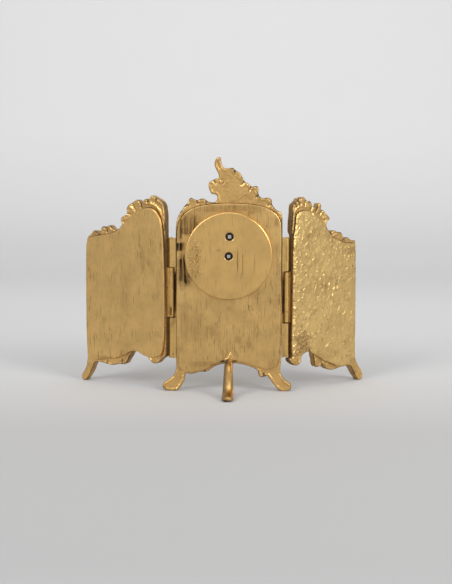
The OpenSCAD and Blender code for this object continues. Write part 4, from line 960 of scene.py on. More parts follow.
CENTRE_WINDOW = rounded([(23.5, 57.5), *arch, (-23.5, 57.5), (-23.5, 24), (-20, 20.5), (20, 20.5),
    (23.5, 24)], 2)
print("centre leaf:", len(CENTRE_OUTLINE), "outline points,", len(CENTRE_WINDOW), "round the window")

# %% Heights that every casting shares
CASTING_T, CASTING_NET = 4.0, 0.62
PLATE_T = 1.6
MOULDING_W = 2.0
GROOVE_AT, GROOVE_W = MOULDING_W + 0.25, 0.35
RIM_AT, RIM_HALF, RIM_H, RIM_OFF_WINDOW = 0.95, 0.6, 0.45, 3.2
FOLD_H = 0.62
# Painted shade: a shadow line beside the plate, fading in between z = 40 and 75 mm, and darkening along the
# edges, in the creases and in the ring round the rivet.
SEAM_W, SEAM_SHADOW, SEAM_FADE = 0.5, 0.95, (40, 75)
EDGE_SHADE_W, EDGE_SHADE = 0.45, 0.72
CREASE_W, CREASE_DEPTH, CREASE_SHADE_W, CREASE_SHADE = 0.45, 0.55, 0.5, 0.8
RING_W, RING_DEPTH, RING_SHADE = 0.28, 0.18, 0.85


def casting_front(strokes, window):
    """The carved front of a frame: a raised ring round the window, a rim along the edge, and ornament."""
    def front(points, away):
        to_window = edge_distance(points, window)
        ring = dome(to_window, MOULDING_W / 2, MOULDING_W / 2)
        rim = RIM_H * dome(away, RIM_AT, RIM_HALF) * (to_window > RIM_OFF_WINDOW)
        carving, hollow = carve(points, strokes)
        height = np.maximum(np.maximum(ring, rim), carving) + 0.07 * ripple(points, 2.2, 3.1)
        # The groove beside the window ring is darkened with painted shade.
        groove = hump(to_window, GROOVE_W, GROOVE_AT) * (carving < 0.1)
        return -CASTING_T - height, np.clip(hollow + 0.8 * groove, 0, 1)
    return front


def casting_rear(plate, folds=(), creases=(), dimples=()):
    """The back of a frame: flat under the plate, a painted shadow line beside it, a lumpy rim and painted
    shade along the edge, the backs of the leaves as folds and creases, darkened beside the folds (partly
    dirt, partly painted shade) and in the creases (painted shade), and a ring of painted shade round a rivet
    at each dimple (x, z, radius)."""
    def rear(points, away):
        outside = np.where(within(points, plate), 0.0, edge_distance(points, plate))
        free = smoothed(outside, 0.1, 0.9)
        height = 0.34 * hump(away, 0.55, 0.75) + 0.28 * hump(away, 0.8, 0.85) * ripple(points, 1.5, 4.4)
        height += 0.16 * ripple(points, 3.1, 7.7) + 0.09 * ripple(points, 1.2, 1.3)
        folded, beside = carve(points, folds)
        height = np.maximum(height, FOLD_H * folded)
        shade_and_dirt = SEAM_SHADOW * hump(outside, SEAM_W) * smoothed(points[:, 1], *SEAM_FADE) + 0.55 * beside * free
        shade_and_dirt += EDGE_SHADE * hump(away, EDGE_SHADE_W)
        for line in creases:
            d = along(points, np.array(line, float))[0]
            height -= CREASE_DEPTH * hump(d, CREASE_W)
            shade_and_dirt += CREASE_SHADE * hump(d, CREASE_SHADE_W)
        for x, z, r in dimples:
            ring = hump(np.hypot(points[:, 0] - x, points[:, 1] - z), RING_W, r)
            height -= RING_DEPTH * ring
            shade_and_dirt += RING_SHADE * ring
        return free * height - 0.02, np.clip(shade_and_dirt, 0, 1)
    return rear


print("casting", CASTING_T, "mm thick, back plate", PLATE_T, "mm")

# %% Carving on the centre leaf
CREST = [
    *leaves((0, 107, 5.6, 130.5, -2.4, 2.3, 0.85), (-1, 107.5, -7.5, 120.5, 1.5, 2.0, 0.7),
            (-3, 107.5, -14.8, 114.2, 1.6, 1.9, 0.7), (2, 108, 9.4, 117.6, -1.5, 1.7, 0.7),
            (-6, 107.5, -22.5, 108.4, 1.2, 1.2, 0.6), (8, 106.5, 21.6, 108, 0.8, 1.2, 0.6)),
    *curls((6.9, 115.2, 3.0, 0.6, 200, 560, 0.9, 0.4, 0.75),
           (6.0, 130.3, 1.2, 0.4, -60, 300, 0.5, 0.3, 0.8)),
]
SHOULDERS = [
    *leaves((24.5, 103, 12, 106.5, -1.0, 1.5), (-24.5, 104, -12, 107, 1.0, 1.5),
            (26.6, 95, 26.9, 80, 0.5, 1.3, 0.7), (-26.6, 95, -26.9, 80, -0.5, 1.3, 0.7),
            (26.7, 50, 26.7, 66, 0.5, 1.2, 0.7), (-26.7, 48, -26.7, 64, -0.5, 1.2, 0.7)),
    *curls((25.2, 99, 3.0, 0.7, 30, 420, 0.9, 0.4), (-25.4, 99.5, 3.0, 0.7, 150, -240, 0.9, 0.4)),
]
APRON = [
    *leaves((10, 14.6, 20, 12.6, 0.8, 1.3, 0.7), (-10, 16.2, -20, 11.6, -0.8, 1.3, 0.7),
            (26, 16, 34.6, 2.6, -2.6, 1.9, 0.9), (-26, 16, -33.6, 2.2, 2.8, 1.7, 0.9)),
    *curls((8.4, 15.6, 2.3, 0.5, 170, -200, 0.8, 0.35), (-8.4, 16.4, 2.2, 0.5, 10, 380, 0.8, 0.35),
           (26.6, 19.6, 2.0, 0.5, 250, 600, 0.7, 0.35), (-26.6, 19.6, 2.0, 0.5, 290, -60, 0.7, 0.35)),
    *fan(0, 15.6, 5.2, 25, 155, 7, 0.6, 0.75),
]
DRUM_SEAT = circle(DRUM_HOLE_R, 0, DRUM_Z)
ROSETTE_AT = (4.4, 118.4)
RIVET_SHADE_R = 1.25
WALL_SHADE = 0.42
CENTRE_FOLDS = [
    *leaves((-8, 111, -10.5, 113.4, 0.2, 0.5, 0.35), (-5.5, 109, -7.5, 111, 0.2, 0.5, 0.35),
            (-17.4, 7.9, -17.2, 11.6, 0.5, 0.7, 0.6), (-20.6, 9.2, -19, 11.4, 0.3, 0.6, 0.5)),
    *rolls((-24.2, 104, -28.8, 97.5, 0.9, 0.5, 0.7, 0.6), (24.6, 103.8, 27.4, 100, -0.4, 0.7, 0.5, 0.6),
           (-1.5, 125.2, -7.6, 119.6, 0.8, 0.5, 0.7, 0.55), (-14.4, 115, -15.4, 111.6, 0.4, 0.7, 0.6, 0.6),
           (-16.5, 109, -22.6, 107.6, -0.3, 0.5, 0.7, 0.5), (20.8, 108.3, 15, 107.7, 0.3, 0.6, 0.6, 0.5)),
]
CENTRE_CREASES = [[(-12.4, 115.8), (-11, 113.6)], [(-16.6, 110.8), (-14.6, 109.6)],
                  [(-24, 106), (-21.8, 105.4)], [(24.6, 105.3), (22.2, 105.2)], [(18, 108.2), (17.6, 106.2)],
                  [(12.5, 107.6), (12.8, 106.4)], [(-8.6, 118.2), (-6.8, 116.8)],
                  [(8.5, 119.2), (7.6, 117.6)], [(-3.4, 124.6), (-3, 122.6)], [(-19.4, 8.2), (-19.8, 10.4)],
                  [(14, 10.9), (13.6, 12.4)]]


def shaded_side(points):
    """The side walls get painted shade all round."""
    return np.full(len(points), WALL_SHADE)


carved_piece("centre_casting", "centre_leaf", casting_gilt, "gilt_casting", ["centre_frame"],
             (CENTRE_OUTLINE, [CENTRE_WINDOW, DRUM_SEAT],
              casting_front(CREST + SHOULDERS + APRON, CENTRE_WINDOW),
              casting_rear(CENTRE_PLATE, CENTRE_FOLDS, CENTRE_CREASES, [(*ROSETTE_AT, RIVET_SHADE_R)]),
              on_centre), spacing=CASTING_NET, walls=shaded_side)

# %% [markdown]
# ## Back plates
# The plates are sheet brass, filed by hand, so they are flat but not perfectly: the light wanders a little
# over them. One of the three is different. The plate at the left of the dial was cast, and its back is full
# of shallow dents.

# %% Back plate builder
PITTED_X, PITTED_Z, PITTED_R = 7.5, 28, 10
HINGE_WALL_SHADE = 0.72


def plate_rear(wave, wave_size, dents=0.0, pillow=0.0):
    """The outer face of a back plate: slow waves, bumps and dents where it was cast, and a soft border."""
    def rear(points, away):
        x, z = points.T
        slanted = np.stack([x + 0.4 * z, 0.6 * z - 0.25 * x], 1)
        bumps = smoothed(ripple(slanted, 2.6, 11.0), 0.1, 0.75)
        hollows = smoothed(-ripple(slanted, 3.6, 5.0), 0.1, 0.7)
        small = smoothed(ripple(slanted, 1.5, 23.0), 0.25, 0.8)
        y = PLATE_T + wave * ripple(points, wave_size, 2.0)
        y += dents * (bumps - 0.5 * hollows) + 0.5 * dents * small
        pitted = smoothed(PITTED_R - np.hypot(x - PITTED_X, 0.8 * (z - PITTED_Z)), 0, 6)
        pits = dents * smoothed(ripple(points, 1.3, 41.0), 0.15, 0.6) * pitted
        y -= 1.2 * pits + pillow * hump(away, 2.4)
        return y - 0.04, np.zeros(len(points))
    return rear


def hinge_side(points):
    """The side walls of a wing get painted shade all round, darkest beside the hinge."""
    return np.where(points[:, 0] < 5, HINGE_WALL_SHADE, WALL_SHADE)


DRUM_GAP_R = DRUM_HOLE_R + 0.1
carved_piece("centre_plate", "centre_leaf", plate_gilt, "gilt_back_plate", ["centre_back_plate"],
             (CENTRE_PLATE, [circle(DRUM_GAP_R, 0, DRUM_Z)], flat_at(0), plate_rear(0.05, 14), on_centre),
             with_shade=False, spacing=1.0, edge=0.4)

# %% [markdown]
# ## The wings
# The wings are the same kind of work, drawn outward from the hinge and folded toward the front. Their
# castings reach beyond the plates at the top and the bottom, where the leaf ornament is.

# %% Outlines of the right wing
RIGHT_OUTLINE = rounded([(2.8, 19.3), (5, 18.2), (6.4, 16.6), (8.1, 15), (10.4, 14.5), (12.6, 15),
    (13.9, 16.6), (15.4, 17.9), (18.3, 19.4), (21.5, 20.6), (24.5, 20.8), (26.8, 19.2), (28.2, 17),
    (29.2, 15), (30.4, 12.9), (32.8, 11.9), (35, 12.2), (37.8, 11.5), (41, 10.7), (44.5, 11.2),
    (48.3, 11.9), (51.6, 12.2), (53.8, 11.2), (55, 8.8), (56.2, 6), (57.9, 3), (59.3, 1), (60.2, 0),
    (62.4, 0), (63.5, 1.8), (62.9, 3.8), (61.3, 5.7), (59.9, 8), (59.1, 10.8), (58.7, 14), (58.7, 18),
    (58.9, 40), (58.8, 70), (58.2, 82.5), (57.6, 85.4), (56, 86.6), (54.8, 87.1), (53.9, 88.6),
    (52.6, 89.4), (51.3, 89), (50.4, 87.8), (49.2, 87.4), (48.2, 88.2), (47.9, 89.8), (47.2, 91.4),
    (45.8, 92.1), (44.4, 91.3), (43.2, 91.5), (41.9, 92.8), (40.6, 92.5), (39.4, 91), (38, 90.2),
    (36.4, 90.2), (34.6, 91.1), (33, 92.9), (32.5, 94.2), (33.5, 95.6), (33.2, 97.3), (31.5, 98.4),
    (29.8, 98.9), (28.9, 100.2), (29.3, 102), (28.9, 103.8), (27.4, 105.2), (25.5, 106), (23.5, 107.2),
    (21.6, 108.1), (20.2, 107.2), (19, 105.5), (18.1, 106.2), (17.2, 107.8), (15.8, 108.8), (14.4, 107.9),
    (13.2, 108.1), (13, 109.7), (12, 110.6), (10.4, 110.1), (8.6, 109.2), (6.2, 108.2), (4.7, 107),
    (3.6, 105.4), (3, 103), (2.6, 100), (2.6, 95), (2.6, 24)])
RIGHT_PLATE = rounded([(58.3, 20), (56.8, 16), (54.3, 14.3), (51.3, 13.3), (44.7, 14.4), (37.6, 15.4),
    (33.5, 17), (30.5, 18.1), (27.4, 20.2), (23.9, 21.2), (20.8, 20.6), (17.3, 18.9), (13.4, 18.2),
    (10.1, 18.2), (7.7, 19), (4.8, 20.2), (3.4, 26), (2.7, 32), (2.6, 50), (3, 80), (3.7, 90),
    (4.5, 95.5), (5.2, 97.8), (6.3, 99.8), (8.1, 102), (10.6, 103.2), (13.7, 103.6), (17.3, 103.1),
    (20.3, 101.6), (24.4, 98.6), (30.5, 93.6), (34.6, 90.2), (38.6, 88.4), (42.7, 87.6), (46.8, 86.9),
    (52.9, 85.8), (55.9, 84.8), (57.3, 82.5), (57.9, 76)])
RIGHT_WINDOW = rounded([(8.6, 30), (10.1, 26.5), (26.4, 26.5), (34.6, 21.5), (49.8, 19.5), (52.4, 23),
    (52.9, 76), (50.9, 79.5), (40.7, 82), (30.5, 88), (21.3, 95), (12.2, 96.5), (8.6, 92)])
RIGHT_CARVING = [
    *leaves((8, 99, 11.5, 109, -1.2, 1.9, 0.8), (11, 100, 16.5, 107, -0.8, 1.6, 0.7),
            (14, 100, 24.5, 104.8, -1.2, 1.9, 0.8), (20, 99, 29.4, 97.6, -1.4, 1.8, 0.7),
            (28, 96, 40, 91, 1.0, 1.7, 0.7), (46, 87.6, 55.4, 84, 0.7, 1.4, 0.7),
            (54.9, 80, 55.2, 62, 0.4, 1.2, 0.7), (5.5, 90, 5.5, 74, -0.4, 1.2, 0.7),
            (5.5, 30, 5.5, 46, 0.4, 1.2, 0.7), (11, 18.6, 22, 23.4, -0.8, 1.5, 0.7),
            (25, 21, 34, 15.6, -0.9, 1.7, 0.8), (40, 14.4, 51, 14.6, 0.8, 1.5, 0.7),
            (53.8, 18, 60.6, 2.2, -1.6, 1.7, 0.9)),
    *curls((6.2, 103.6, 2.6, 0.6, 60, 420, 0.8, 0.35), (43.6, 88.6, 2.2, 0.5, 150, -210, 0.7, 0.35),
           (8.6, 19.4, 2.6, 0.6, 120, 480, 0.8, 0.35), (37.4, 15.6, 2.2, 0.5, 180, -180, 0.7, 0.35)),
    *fan(51.4, 86, 3.6, 30, 150, 5, 0.5, 0.6),
]
print("right wing:", len(RIGHT_OUTLINE), "outline points,", len(RIGHT_CARVING), "strokes")

# %% Outlines of the left wing
LEFT_OUTLINE = rounded([(2.7, 18.6), (1.2, 19), (0.2, 18.2), (0.9, 16.8), (2.8, 15.2), (5.4, 13.9),
    (7.8, 14.4), (9.2, 16), (9.2, 18), (10.1, 19.8), (12.8, 21), (16.4, 21.5), (18.8, 20.2), (19.4, 17),
    (19.5, 14), (20.4, 12), (21.9, 11.2), (23.9, 11.7), (25.6, 12.8), (26.9, 11.2), (29, 9.7),
    (31.5, 8.7), (34.3, 8.4), (37, 8.9), (40.2, 9.4), (43.4, 9.6), (46.4, 10), (48.6, 9), (50.2, 6.8),
    (51.6, 4.6), (53.2, 2), (54.4, 0), (57.2, 0), (58.4, 1.6), (58.4, 3.4), (57.4, 5.4), (55.4, 8),
    (53.4, 10.8), (52.1, 13.6), (51.9, 18), (51.9, 50), (51.5, 80), (51, 83.4), (49.8, 83.4), (48, 83.3),
    (46.4, 84.5), (44.6, 85.6), (43, 85.3), (41.8, 84.5), (41.2, 85.8), (40.6, 87.6), (39.2, 88.9),
    (37.4, 88.6), (35.8, 89.2), (33.8, 90.1), (32.2, 89.4), (31, 88.5), (29.5, 90.2), (28.3, 92),
    (27.8, 93.8), (28.2, 95.2), (30.3, 96), (30.8, 97.1), (29.2, 98.4), (27.4, 99.8), (25.6, 101.8),
    (23.3, 102.4), (23.9, 104.2), (23.1, 106), (21.5, 105.8), (20.7, 103.2), (19, 103.4), (17.1, 104),
    (16.4, 106), (15, 107.6), (13.6, 106.7), (12, 108.3), (10.6, 109.7), (9, 109.7), (8, 108.3),
    (6.7, 109.4), (5.6, 107.6), (4.2, 106.5), (3, 106), (2.3, 104.6), (2.2, 101.6), (2, 98.6),
    (1.6, 96.3), (1.4, 92), (1.7, 89.4), (2.7, 88.6), (2.6, 84), (2.6, 22)])
LEFT_PLATE = rounded([(50.9, 20), (50.5, 15), (49.3, 13), (47.6, 11.8), (45.4, 10.8), (42.7, 10.1),
    (39.7, 10.1), (36.1, 10.9), (32.2, 12.5), (28.9, 13.8), (26.4, 14.6), (24.4, 16.1), (21.3, 17.7),
    (18.8, 19.2), (16.2, 21), (14.4, 21.7), (12.2, 21.2), (10.1, 20.5), (7.7, 19.9), (5, 19.7),
    (2.4, 19.9), (1.6, 22), (1.4, 30), (2, 45), (2, 75), (2.4, 87), (3.2, 90.8), (3.9, 94.6), (4, 97.4),
    (4.6, 99.8), (6.1, 101.1), (8.1, 101.9), (10.6, 102.2), (13.7, 101.9), (16.2, 101), (18.5, 99.7),
    (22.4, 96.3), (26.4, 92.2), (30.3, 87.7), (32.5, 86), (35.6, 84.9), (39.7, 83), (43.2, 82.3),
    (46.8, 82), (49.3, 81.6), (50.1, 78), (50.3, 60)])
LEFT_WINDOW = rounded([(7.1, 30), (8.6, 27), (16.2, 27), (23.4, 21.5), (33.6, 16.8), (43.8, 16.6),
    (46.3, 20), (46.6, 72), (44.3, 75.5), (34.6, 79), (25.9, 87), (17.3, 94.6), (9.6, 94.5), (7.1, 90)])
LEFT_CARVING = [
    *leaves((6, 97, 8.6, 108, -1.0, 1.9, 0.8), (9, 98, 14, 105.6, -0.8, 1.6, 0.7),
            (12, 98, 22, 103, -1.2, 1.8, 0.8), (18, 97, 28, 96, -1.2, 1.7, 0.7),
            (26, 92, 34, 87.4, 0.9, 1.6, 0.7), (40, 82.8, 49, 80, 0.7, 1.4, 0.7),
            (48.4, 76, 48.7, 58, 0.4, 1.2, 0.7), (4.3, 90, 4.3, 74, -0.4, 1.1, 0.7),
            (4.3, 30, 4.3, 46, 0.4, 1.1, 0.7), (8, 21, 16.6, 24, -0.6, 1.4, 0.7),
            (18.6, 20, 27.5, 13.6, -0.9, 1.7, 0.8), (34, 11.8, 45, 12.4, 0.8, 1.5, 0.7),
            (47.6, 16, 55.2, 2.2, -1.8, 1.7, 0.9)),
    *curls((4.9, 102.4, 2.2, 0.5, 60, 420, 0.7, 0.35), (37.6, 84.8, 2.2, 0.5, 150, -210, 0.7, 0.35),
           (5.9, 18.6, 2.4, 0.6, 120, 480, 0.8, 0.35), (31.4, 12.8, 2.2, 0.5, 180, -180, 0.7, 0.35)),
]
print("left wing:", len(LEFT_OUTLINE), "outline points,", len(LEFT_CARVING), "strokes")

# %% Backs of the wings' leaves
RIGHT_FOLDS = [
    *leaves((19.4, 104.2, 22.6, 107.4, 0.5, 1.0, 0.7), (24.6, 101, 28, 104, 0.5, 1.2, 0.7),
            (28, 97.6, 32.8, 96.6, -0.5, 0.9, 0.6), (44, 89.4, 47.4, 91, 0.3, 0.9, 0.6),
            (40.6, 89.6, 41.8, 92.2, 0.3, 0.8, 0.6), (51.4, 87.2, 53, 88.8, 0.2, 0.7, 0.5),
            (8.6, 18, 11.6, 15, 0.5, 1.1, 0.6), (28.4, 17.6, 31, 13, 0.6, 1.1, 0.6),
            (33, 15, 40, 12, 0.5, 1.0, 0.5)),
    round_stroke(open_curve([(3.7, 92), (4.2, 97), (5.8, 101.6), (8.6, 104.6), (12, 105.9),
                             (15.5, 106)], 20), 0.8, 0.7, 0.75),
]
RIGHT_CREASES = [[(19, 105.8), (18.4, 103.6)], [(25, 106), (23.2, 102.4)], [(28.8, 100.2), (26.6, 99.4)],
                 [(14.3, 108), (14.4, 106.6)], [(43.6, 91.4), (43, 88.6)], [(49.6, 87.4), (49.2, 86.9)],
                 [(8.2, 109.2), (9.4, 106.6)], [(44.6, 11.2), (44, 13.6)], [(33.6, 12), (33.4, 15)]]
LEFT_FOLDS = [
    *leaves((6.4, 105.6, 7, 108.6, 0.2, 0.8, 0.6), (13.4, 103.6, 15.2, 106.6, 0.3, 0.9, 0.7),
            (20, 100.6, 23, 105, -0.4, 1.0, 0.8), (24.6, 97, 29.6, 96.9, 0.5, 0.9, 0.6),
            (33.4, 86.8, 38.8, 87.8, 0.4, 1.0, 0.6), (42, 84, 45.6, 84.8, 0.2, 0.7, 0.5),
            (3, 17.4, 7, 15.4, 0.4, 1.1, 0.6), (20.6, 17, 21.6, 12.6, 0.5, 1.1, 0.6),
            (28, 12.4, 36, 9.8, 0.6, 1.1, 0.6)),
    round_stroke(open_curve([(2.6, 92), (2.9, 97), (3.2, 101), (4.8, 103.6), (8, 104.8), (12, 104.6),
                             (15, 103.4)], 20), 0.8, 0.6, 0.75),
]
LEFT_CREASES = [[(16.9, 104.6), (15.9, 102.6)], [(20.4, 103.4), (19.4, 101.6)], [(24.4, 102.2), (22.6, 99.6)],
                [(11.9, 107.8), (10.8, 105)], [(6.1, 108), (7.8, 105.8)], [(31.4, 89), (31.6, 87.4)],
                [(41.4, 84.8), (40.4, 83.2)], [(25.5, 12.7), (24.9, 15)], [(4, 106.4), (5.4, 104.2)]]
print("folds and creases:", *(len(rows) for rows in (RIGHT_FOLDS, RIGHT_CREASES, LEFT_FOLDS,
                                                     LEFT_CREASES)))

# %% Both wings
for body, outline, plate, window, carving, folds, creases, place, metal, back, spacing, edge in (
        ("right_wing", RIGHT_OUTLINE, RIGHT_PLATE, RIGHT_WINDOW, RIGHT_CARVING, RIGHT_FOLDS, RIGHT_CREASES,
         on_right, right_plate_gilt, plate_rear(0.06, 16), 0.9, 0.4),
        ("left_wing", LEFT_OUTLINE, LEFT_PLATE, LEFT_WINDOW, LEFT_CARVING, LEFT_FOLDS, LEFT_CREASES,
         on_left, left_plate_gilt, plate_rear(0.06, 12, dents=0.27, pillow=0.2), 0.55, 0.7)):
    carved_piece(body + "_casting", body, casting_gilt, "gilt_casting", [body + "_frame"],
                 (outline, [window], casting_front(carving, window), casting_rear(plate, folds, creases),
                  place), spacing=CASTING_NET, walls=hinge_side)
    carved_piece(body + "_plate", body, metal, "gilt_back_plate", [body + "_back_plate"],
                 (plate, [], flat_at(0), back, place), with_shade=False, spacing=spacing, edge=edge)

# %% [markdown]
# ## The cover
# A shallow cap, spun from sheet, presses onto the seat ring. Its edge is rounded over, which gives the thin
# bright line round it. Two holes are countersunk for the keys. The countersinks and the walls of the holes
# are painted dark as shade, and a little painted shade runs along the rim.

# %% Cover
COVER_R, COVER_BACK, COVER_SHEET, COVER_ROUND = 24.5, 6.6, 0.75, 0.8
COVER_GAP = 0.06
KEY_HOLES_WITHIN = 20
KEY_HOLES = [(*WINDING_AT, 2.05), (*SETTING_AT, 2.0)]
SINK_W, SINK_DEPTH = 0.45, 0.45
SKIRT_STEP = 0.05


def from_drum(points):
    """Distance of each point to the drum's axis."""
    return np.hypot(points[:, 0], points[:, 1] - DRUM_Z)


def cover_front(points, away):
    """The hollow inside of the cap: a skirt round a flat sheet."""
    skirt = from_drum(points) > COVER_R - COVER_SHEET - 0.015
    return np.where(skirt, PLATE_T + COVER_GAP, COVER_BACK - COVER_SHEET), np.zeros(len(points))


def cover_rear(points, away):
    """The outside: a rounded rim, a very slight swell, the two countersinks, and painted shade in them and at
    the rim.
    """
    from_rim = COVER_R - from_drum(points)
    y = COVER_BACK - quarter_round(from_rim, COVER_ROUND) - 0.03 - 0.02 * ripple(points, 9, 3.0)
    cover_shade = 0.5 * hump(from_rim, 0.25)
    for x, z, hole_r in KEY_HOLES:
        from_edge = np.hypot(points[:, 0] - x, points[:, 1] - z) - hole_r
        y -= SINK_DEPTH * (1 - np.clip(from_edge / SINK_W, 0, 1))
        cover_shade += 0.95 * (1 - smoothed(from_edge, 0.3, 0.5))
    return y, np.clip(cover_shade, 0, 1)


def cover_side(points):
    """Painted shade on the side walls: black in the key holes, light at the rim."""
    return np.where(from_drum(points) < KEY_HOLES_WITHIN, 1.0, 0.2)


carved_piece("cover", "centre_leaf", cover_gilt, "gilt_cover", ["rear_cover"],
             (circle(COVER_R, 0, DRUM_Z, 200), [circle(r, x, z, 32) for x, z, r in KEY_HOLES],
              cover_front, cover_rear, on_centre), edge=0.6, soft=False, walls=cover_side,
             extra=[circle(COVER_R - COVER_SHEET + d, 0, DRUM_Z, 160) for d in (0, -SKIRT_STEP)])

# %% [markdown]
# ## The front panels
# The front of the real clock isn't in the photo. Such screens carry thin pressed sheets in their frames, with
# sprays of flowers on a lattice ground, so that is what is made here. The sheet is flat behind and raised in
# front.

# %% Panels
PANEL_T, PANEL_GAP = 0.6, 0.12
LATTICE_STEP, LATTICE_W, LATTICE_H = 4.4, 0.42, 0.22


def panel_front(strokes):
    """Flowers and leaves over a lattice of fine diagonal ridges."""
    def front(points, away):
        carving, hollow = carve(points, strokes)
        lattice = np.zeros(len(points))
        for slope in (1, -1):
            across = (points[:, 0] + slope * points[:, 1]) / LATTICE_STEP
            off_line = (across - np.round(across)) * LATTICE_STEP
            lattice = np.maximum(lattice, LATTICE_H * hump(off_line, LATTICE_W))
        height = np.maximum(carving, lattice * (1 - smoothed(hollow, 0.0, 0.3)) * (away > 0.8))
        return -PANEL_T - height, np.clip(hollow, 0, 1)
    return front


def drawn_in(loop, gap):
    """A closed outline moved toward its middle by a small gap."""
    middle = loop.mean(0)
    return loop - gap * (loop - middle) / np.linalg.norm(loop - middle, axis=1)[:, None]


def spray(stem, blooms, foliage, size):
    """A stem with flowers and pairs of leaves. blooms are (x, z, radius), foliage are (x, z, x, z, bulge)."""
    strokes = [round_stroke(open_curve(stem, 26), 0.55, 0.4, 0.6)]
    strokes += leaves(*((*leaf, size, 0.8) for leaf in foliage))
    for k, (x, z, r) in enumerate(blooms):
        strokes += flower(x, z, r, petals=5 + k % 2, turn=90 + 17 * k, height=1.15)
    return strokes


def both_sides(x0, z0, x1, z1, bulge):
    """A leaf and its mirror image."""
    return [(-x0, z0, -x1, z1, bulge), (x0, z0, x1, z1, -bulge)]


CENTRE_SPRAY = [
    *spray([(-17, 38), (-9, 31), (0, 28), (9, 31), (17, 38)],
           [(0, 36, 5.2), (-9.5, 34.4, 3.6), (9.5, 34.4, 3.6), (-16, 41, 2.7), (16, 41, 2.7)],
           [*both_sides(4, 40, 7.4, 46, 0.8), *both_sides(12, 38, 13, 45, 0.8),
            *both_sides(6, 30, 11, 25.4, 0.8), *both_sides(18, 42, 19.6, 49, 0.7),
            (0, 41, 0, 47.6, 0.3)], 1.4),
    *curls((-14.6, 28.6, 3.0, 0.6, -60, 330, 0.7, 0.35), (14.6, 28.6, 3.0, 0.6, 240, -150, 0.7, 0.35))]
WING_STEM = [(30, 24), (27, 36), (31, 50), (26, 64), (29, 76)]
WING_BLOOMS = [(27, 41, 5.6), (34.5, 55, 4.6), (21, 59, 4.8), (29.6, 70, 4.2), (19, 77, 3.6)]
WING_FOLIAGE = [(27, 32, 18, 36, 1.2), (29, 31, 39, 33, -1.4), (30, 46, 41, 46.5, -1.2),
                (28, 50, 17, 49, 1.2), (28, 60, 38.5, 64.5, -1.1), (24, 66, 14.5, 67.5, 1.0),
                (22, 72, 25.4, 83, -0.9), (17, 81, 13.6, 89, -0.7), (29, 74, 36, 78, -0.9)]


def wing_spray(squeeze, shift):
    """The wing's spray, drawn narrower for the narrower wing."""
    def fit(x):
        return x * squeeze + shift
    stem = [(fit(x), z) for x, z in WING_STEM]
    blooms = [(fit(x), z, r * squeeze) for x, z, r in WING_BLOOMS]
    foliage = [(fit(x0), z0, fit(x1), z1, bulge) for x0, z0, x1, z1, bulge in WING_FOLIAGE]
    return [*spray(stem, blooms, foliage, 1.5 * squeeze),
            *curls((fit(20), 31.6, 3.2, 0.6, -30, 390, 0.75, 0.35),
                   (fit(40), 27.6, 3.2, 0.6, 210, -210, 0.75, 0.35))]


for name, loop, strokes, body, place in (
        ("centre_panel", CENTRE_WINDOW, CENTRE_SPRAY, "centre_leaf", on_centre),
        ("right_wing_panel", RIGHT_WINDOW, wing_spray(1.0, 1.4), "right_wing", on_right),
        ("left_wing_panel", LEFT_WINDOW, wing_spray(0.9, 1.0), "left_wing", on_left)):
    carved_piece(name + "_relief", body, panel_gilt, "gilt_panel", [name],
                 (drawn_in(loop, PANEL_GAP), [], panel_front(strokes), flat_at(0), place), spacing=0.55,
                 edge=0.2)

# %% [markdown]
# ## Rows of beads
# A row of small beads runs round each window and round the bezel. On the real object they were chased one by
# one, so no two are quite the same size. A Geometry Nodes tree walks along a line, sets a bead at every step
# and varies each one a little. The result is made into a plain mesh, so nothing live stays in the scene.

# %% Bead tree
BEAD_SPACING, BEAD_R, BEAD_VARIATION = 1.1 * MM, 0.45 * MM, 0.06
BEAD_DETAIL = 2


def bead_tree():
    """Beads along the edges of a mesh line."""
    tree = bpy.data.node_groups.new("bead_row", "GeometryNodeTree")
    labels = (("Line", "Geometry", None), ("Spacing", "Float", BEAD_SPACING),
              ("Bead radius", "Float", BEAD_R), ("Variation", "Float", BEAD_VARIATION),
              ("Seed", "Int", 4), ("Finish", "Material", None))
    for label, kind, value in labels:
        socket = tree.interface.new_socket(label, in_out="INPUT", socket_type="NodeSocket" + kind)
        if value is not None:
            socket.default_value = value
    tree.interface.new_socket("Beads", in_out="OUTPUT", socket_type="NodeSocketGeometry")

    def add(kind, inputs, **settings):
        """A node with its settings, and its inputs by label or number. Returns its first output."""
        node = tree.nodes.new(kind)
        for name, v in settings.items():
            setattr(node, name, v)
        for label, v in inputs.items():
            give(node.inputs[label], v)
        return Value(node.outputs[0])

    given = tree.nodes.new("NodeGroupInput").outputs
    line, spacing, radius, variation, seed, finish = [Value(socket) for socket in given[:len(labels)]]
    size = tree.nodes.new("FunctionNodeRandomValue")
    size.data_type = "FLOAT"
    limits = {socket.name: socket for socket in size.inputs if socket.type == "VALUE"}
    give(limits["Min"], 1.0 - variation)
    give(limits["Max"], variation + 1.0)
    give(size.inputs["Seed"], seed)
    chosen = Value(next(socket for socket in size.outputs if socket.type == "VALUE"))
    curve = add("GeometryNodeMeshToCurve", {0: line})
    steps = add("GeometryNodeResampleCurve", {"Curve": curve, "Length": spacing}, mode="LENGTH")
    bead = add("GeometryNodeMeshIcoSphere", {"Radius": radius, "Subdivisions": BEAD_DETAIL})
    beads = add("GeometryNodeInstanceOnPoints", {"Points": steps, "Instance": bead, "Scale": chosen})
    beads = add("GeometryNodeSetShadeSmooth", {0: add("GeometryNodeRealizeInstances", {0: beads})})
    beads = add("GeometryNodeSetMaterial", {"Geometry": beads, "Material": finish})
    give(tree.nodes.new("NodeGroupOutput").inputs[0], beads)
    return tree


BEADS = bead_tree()


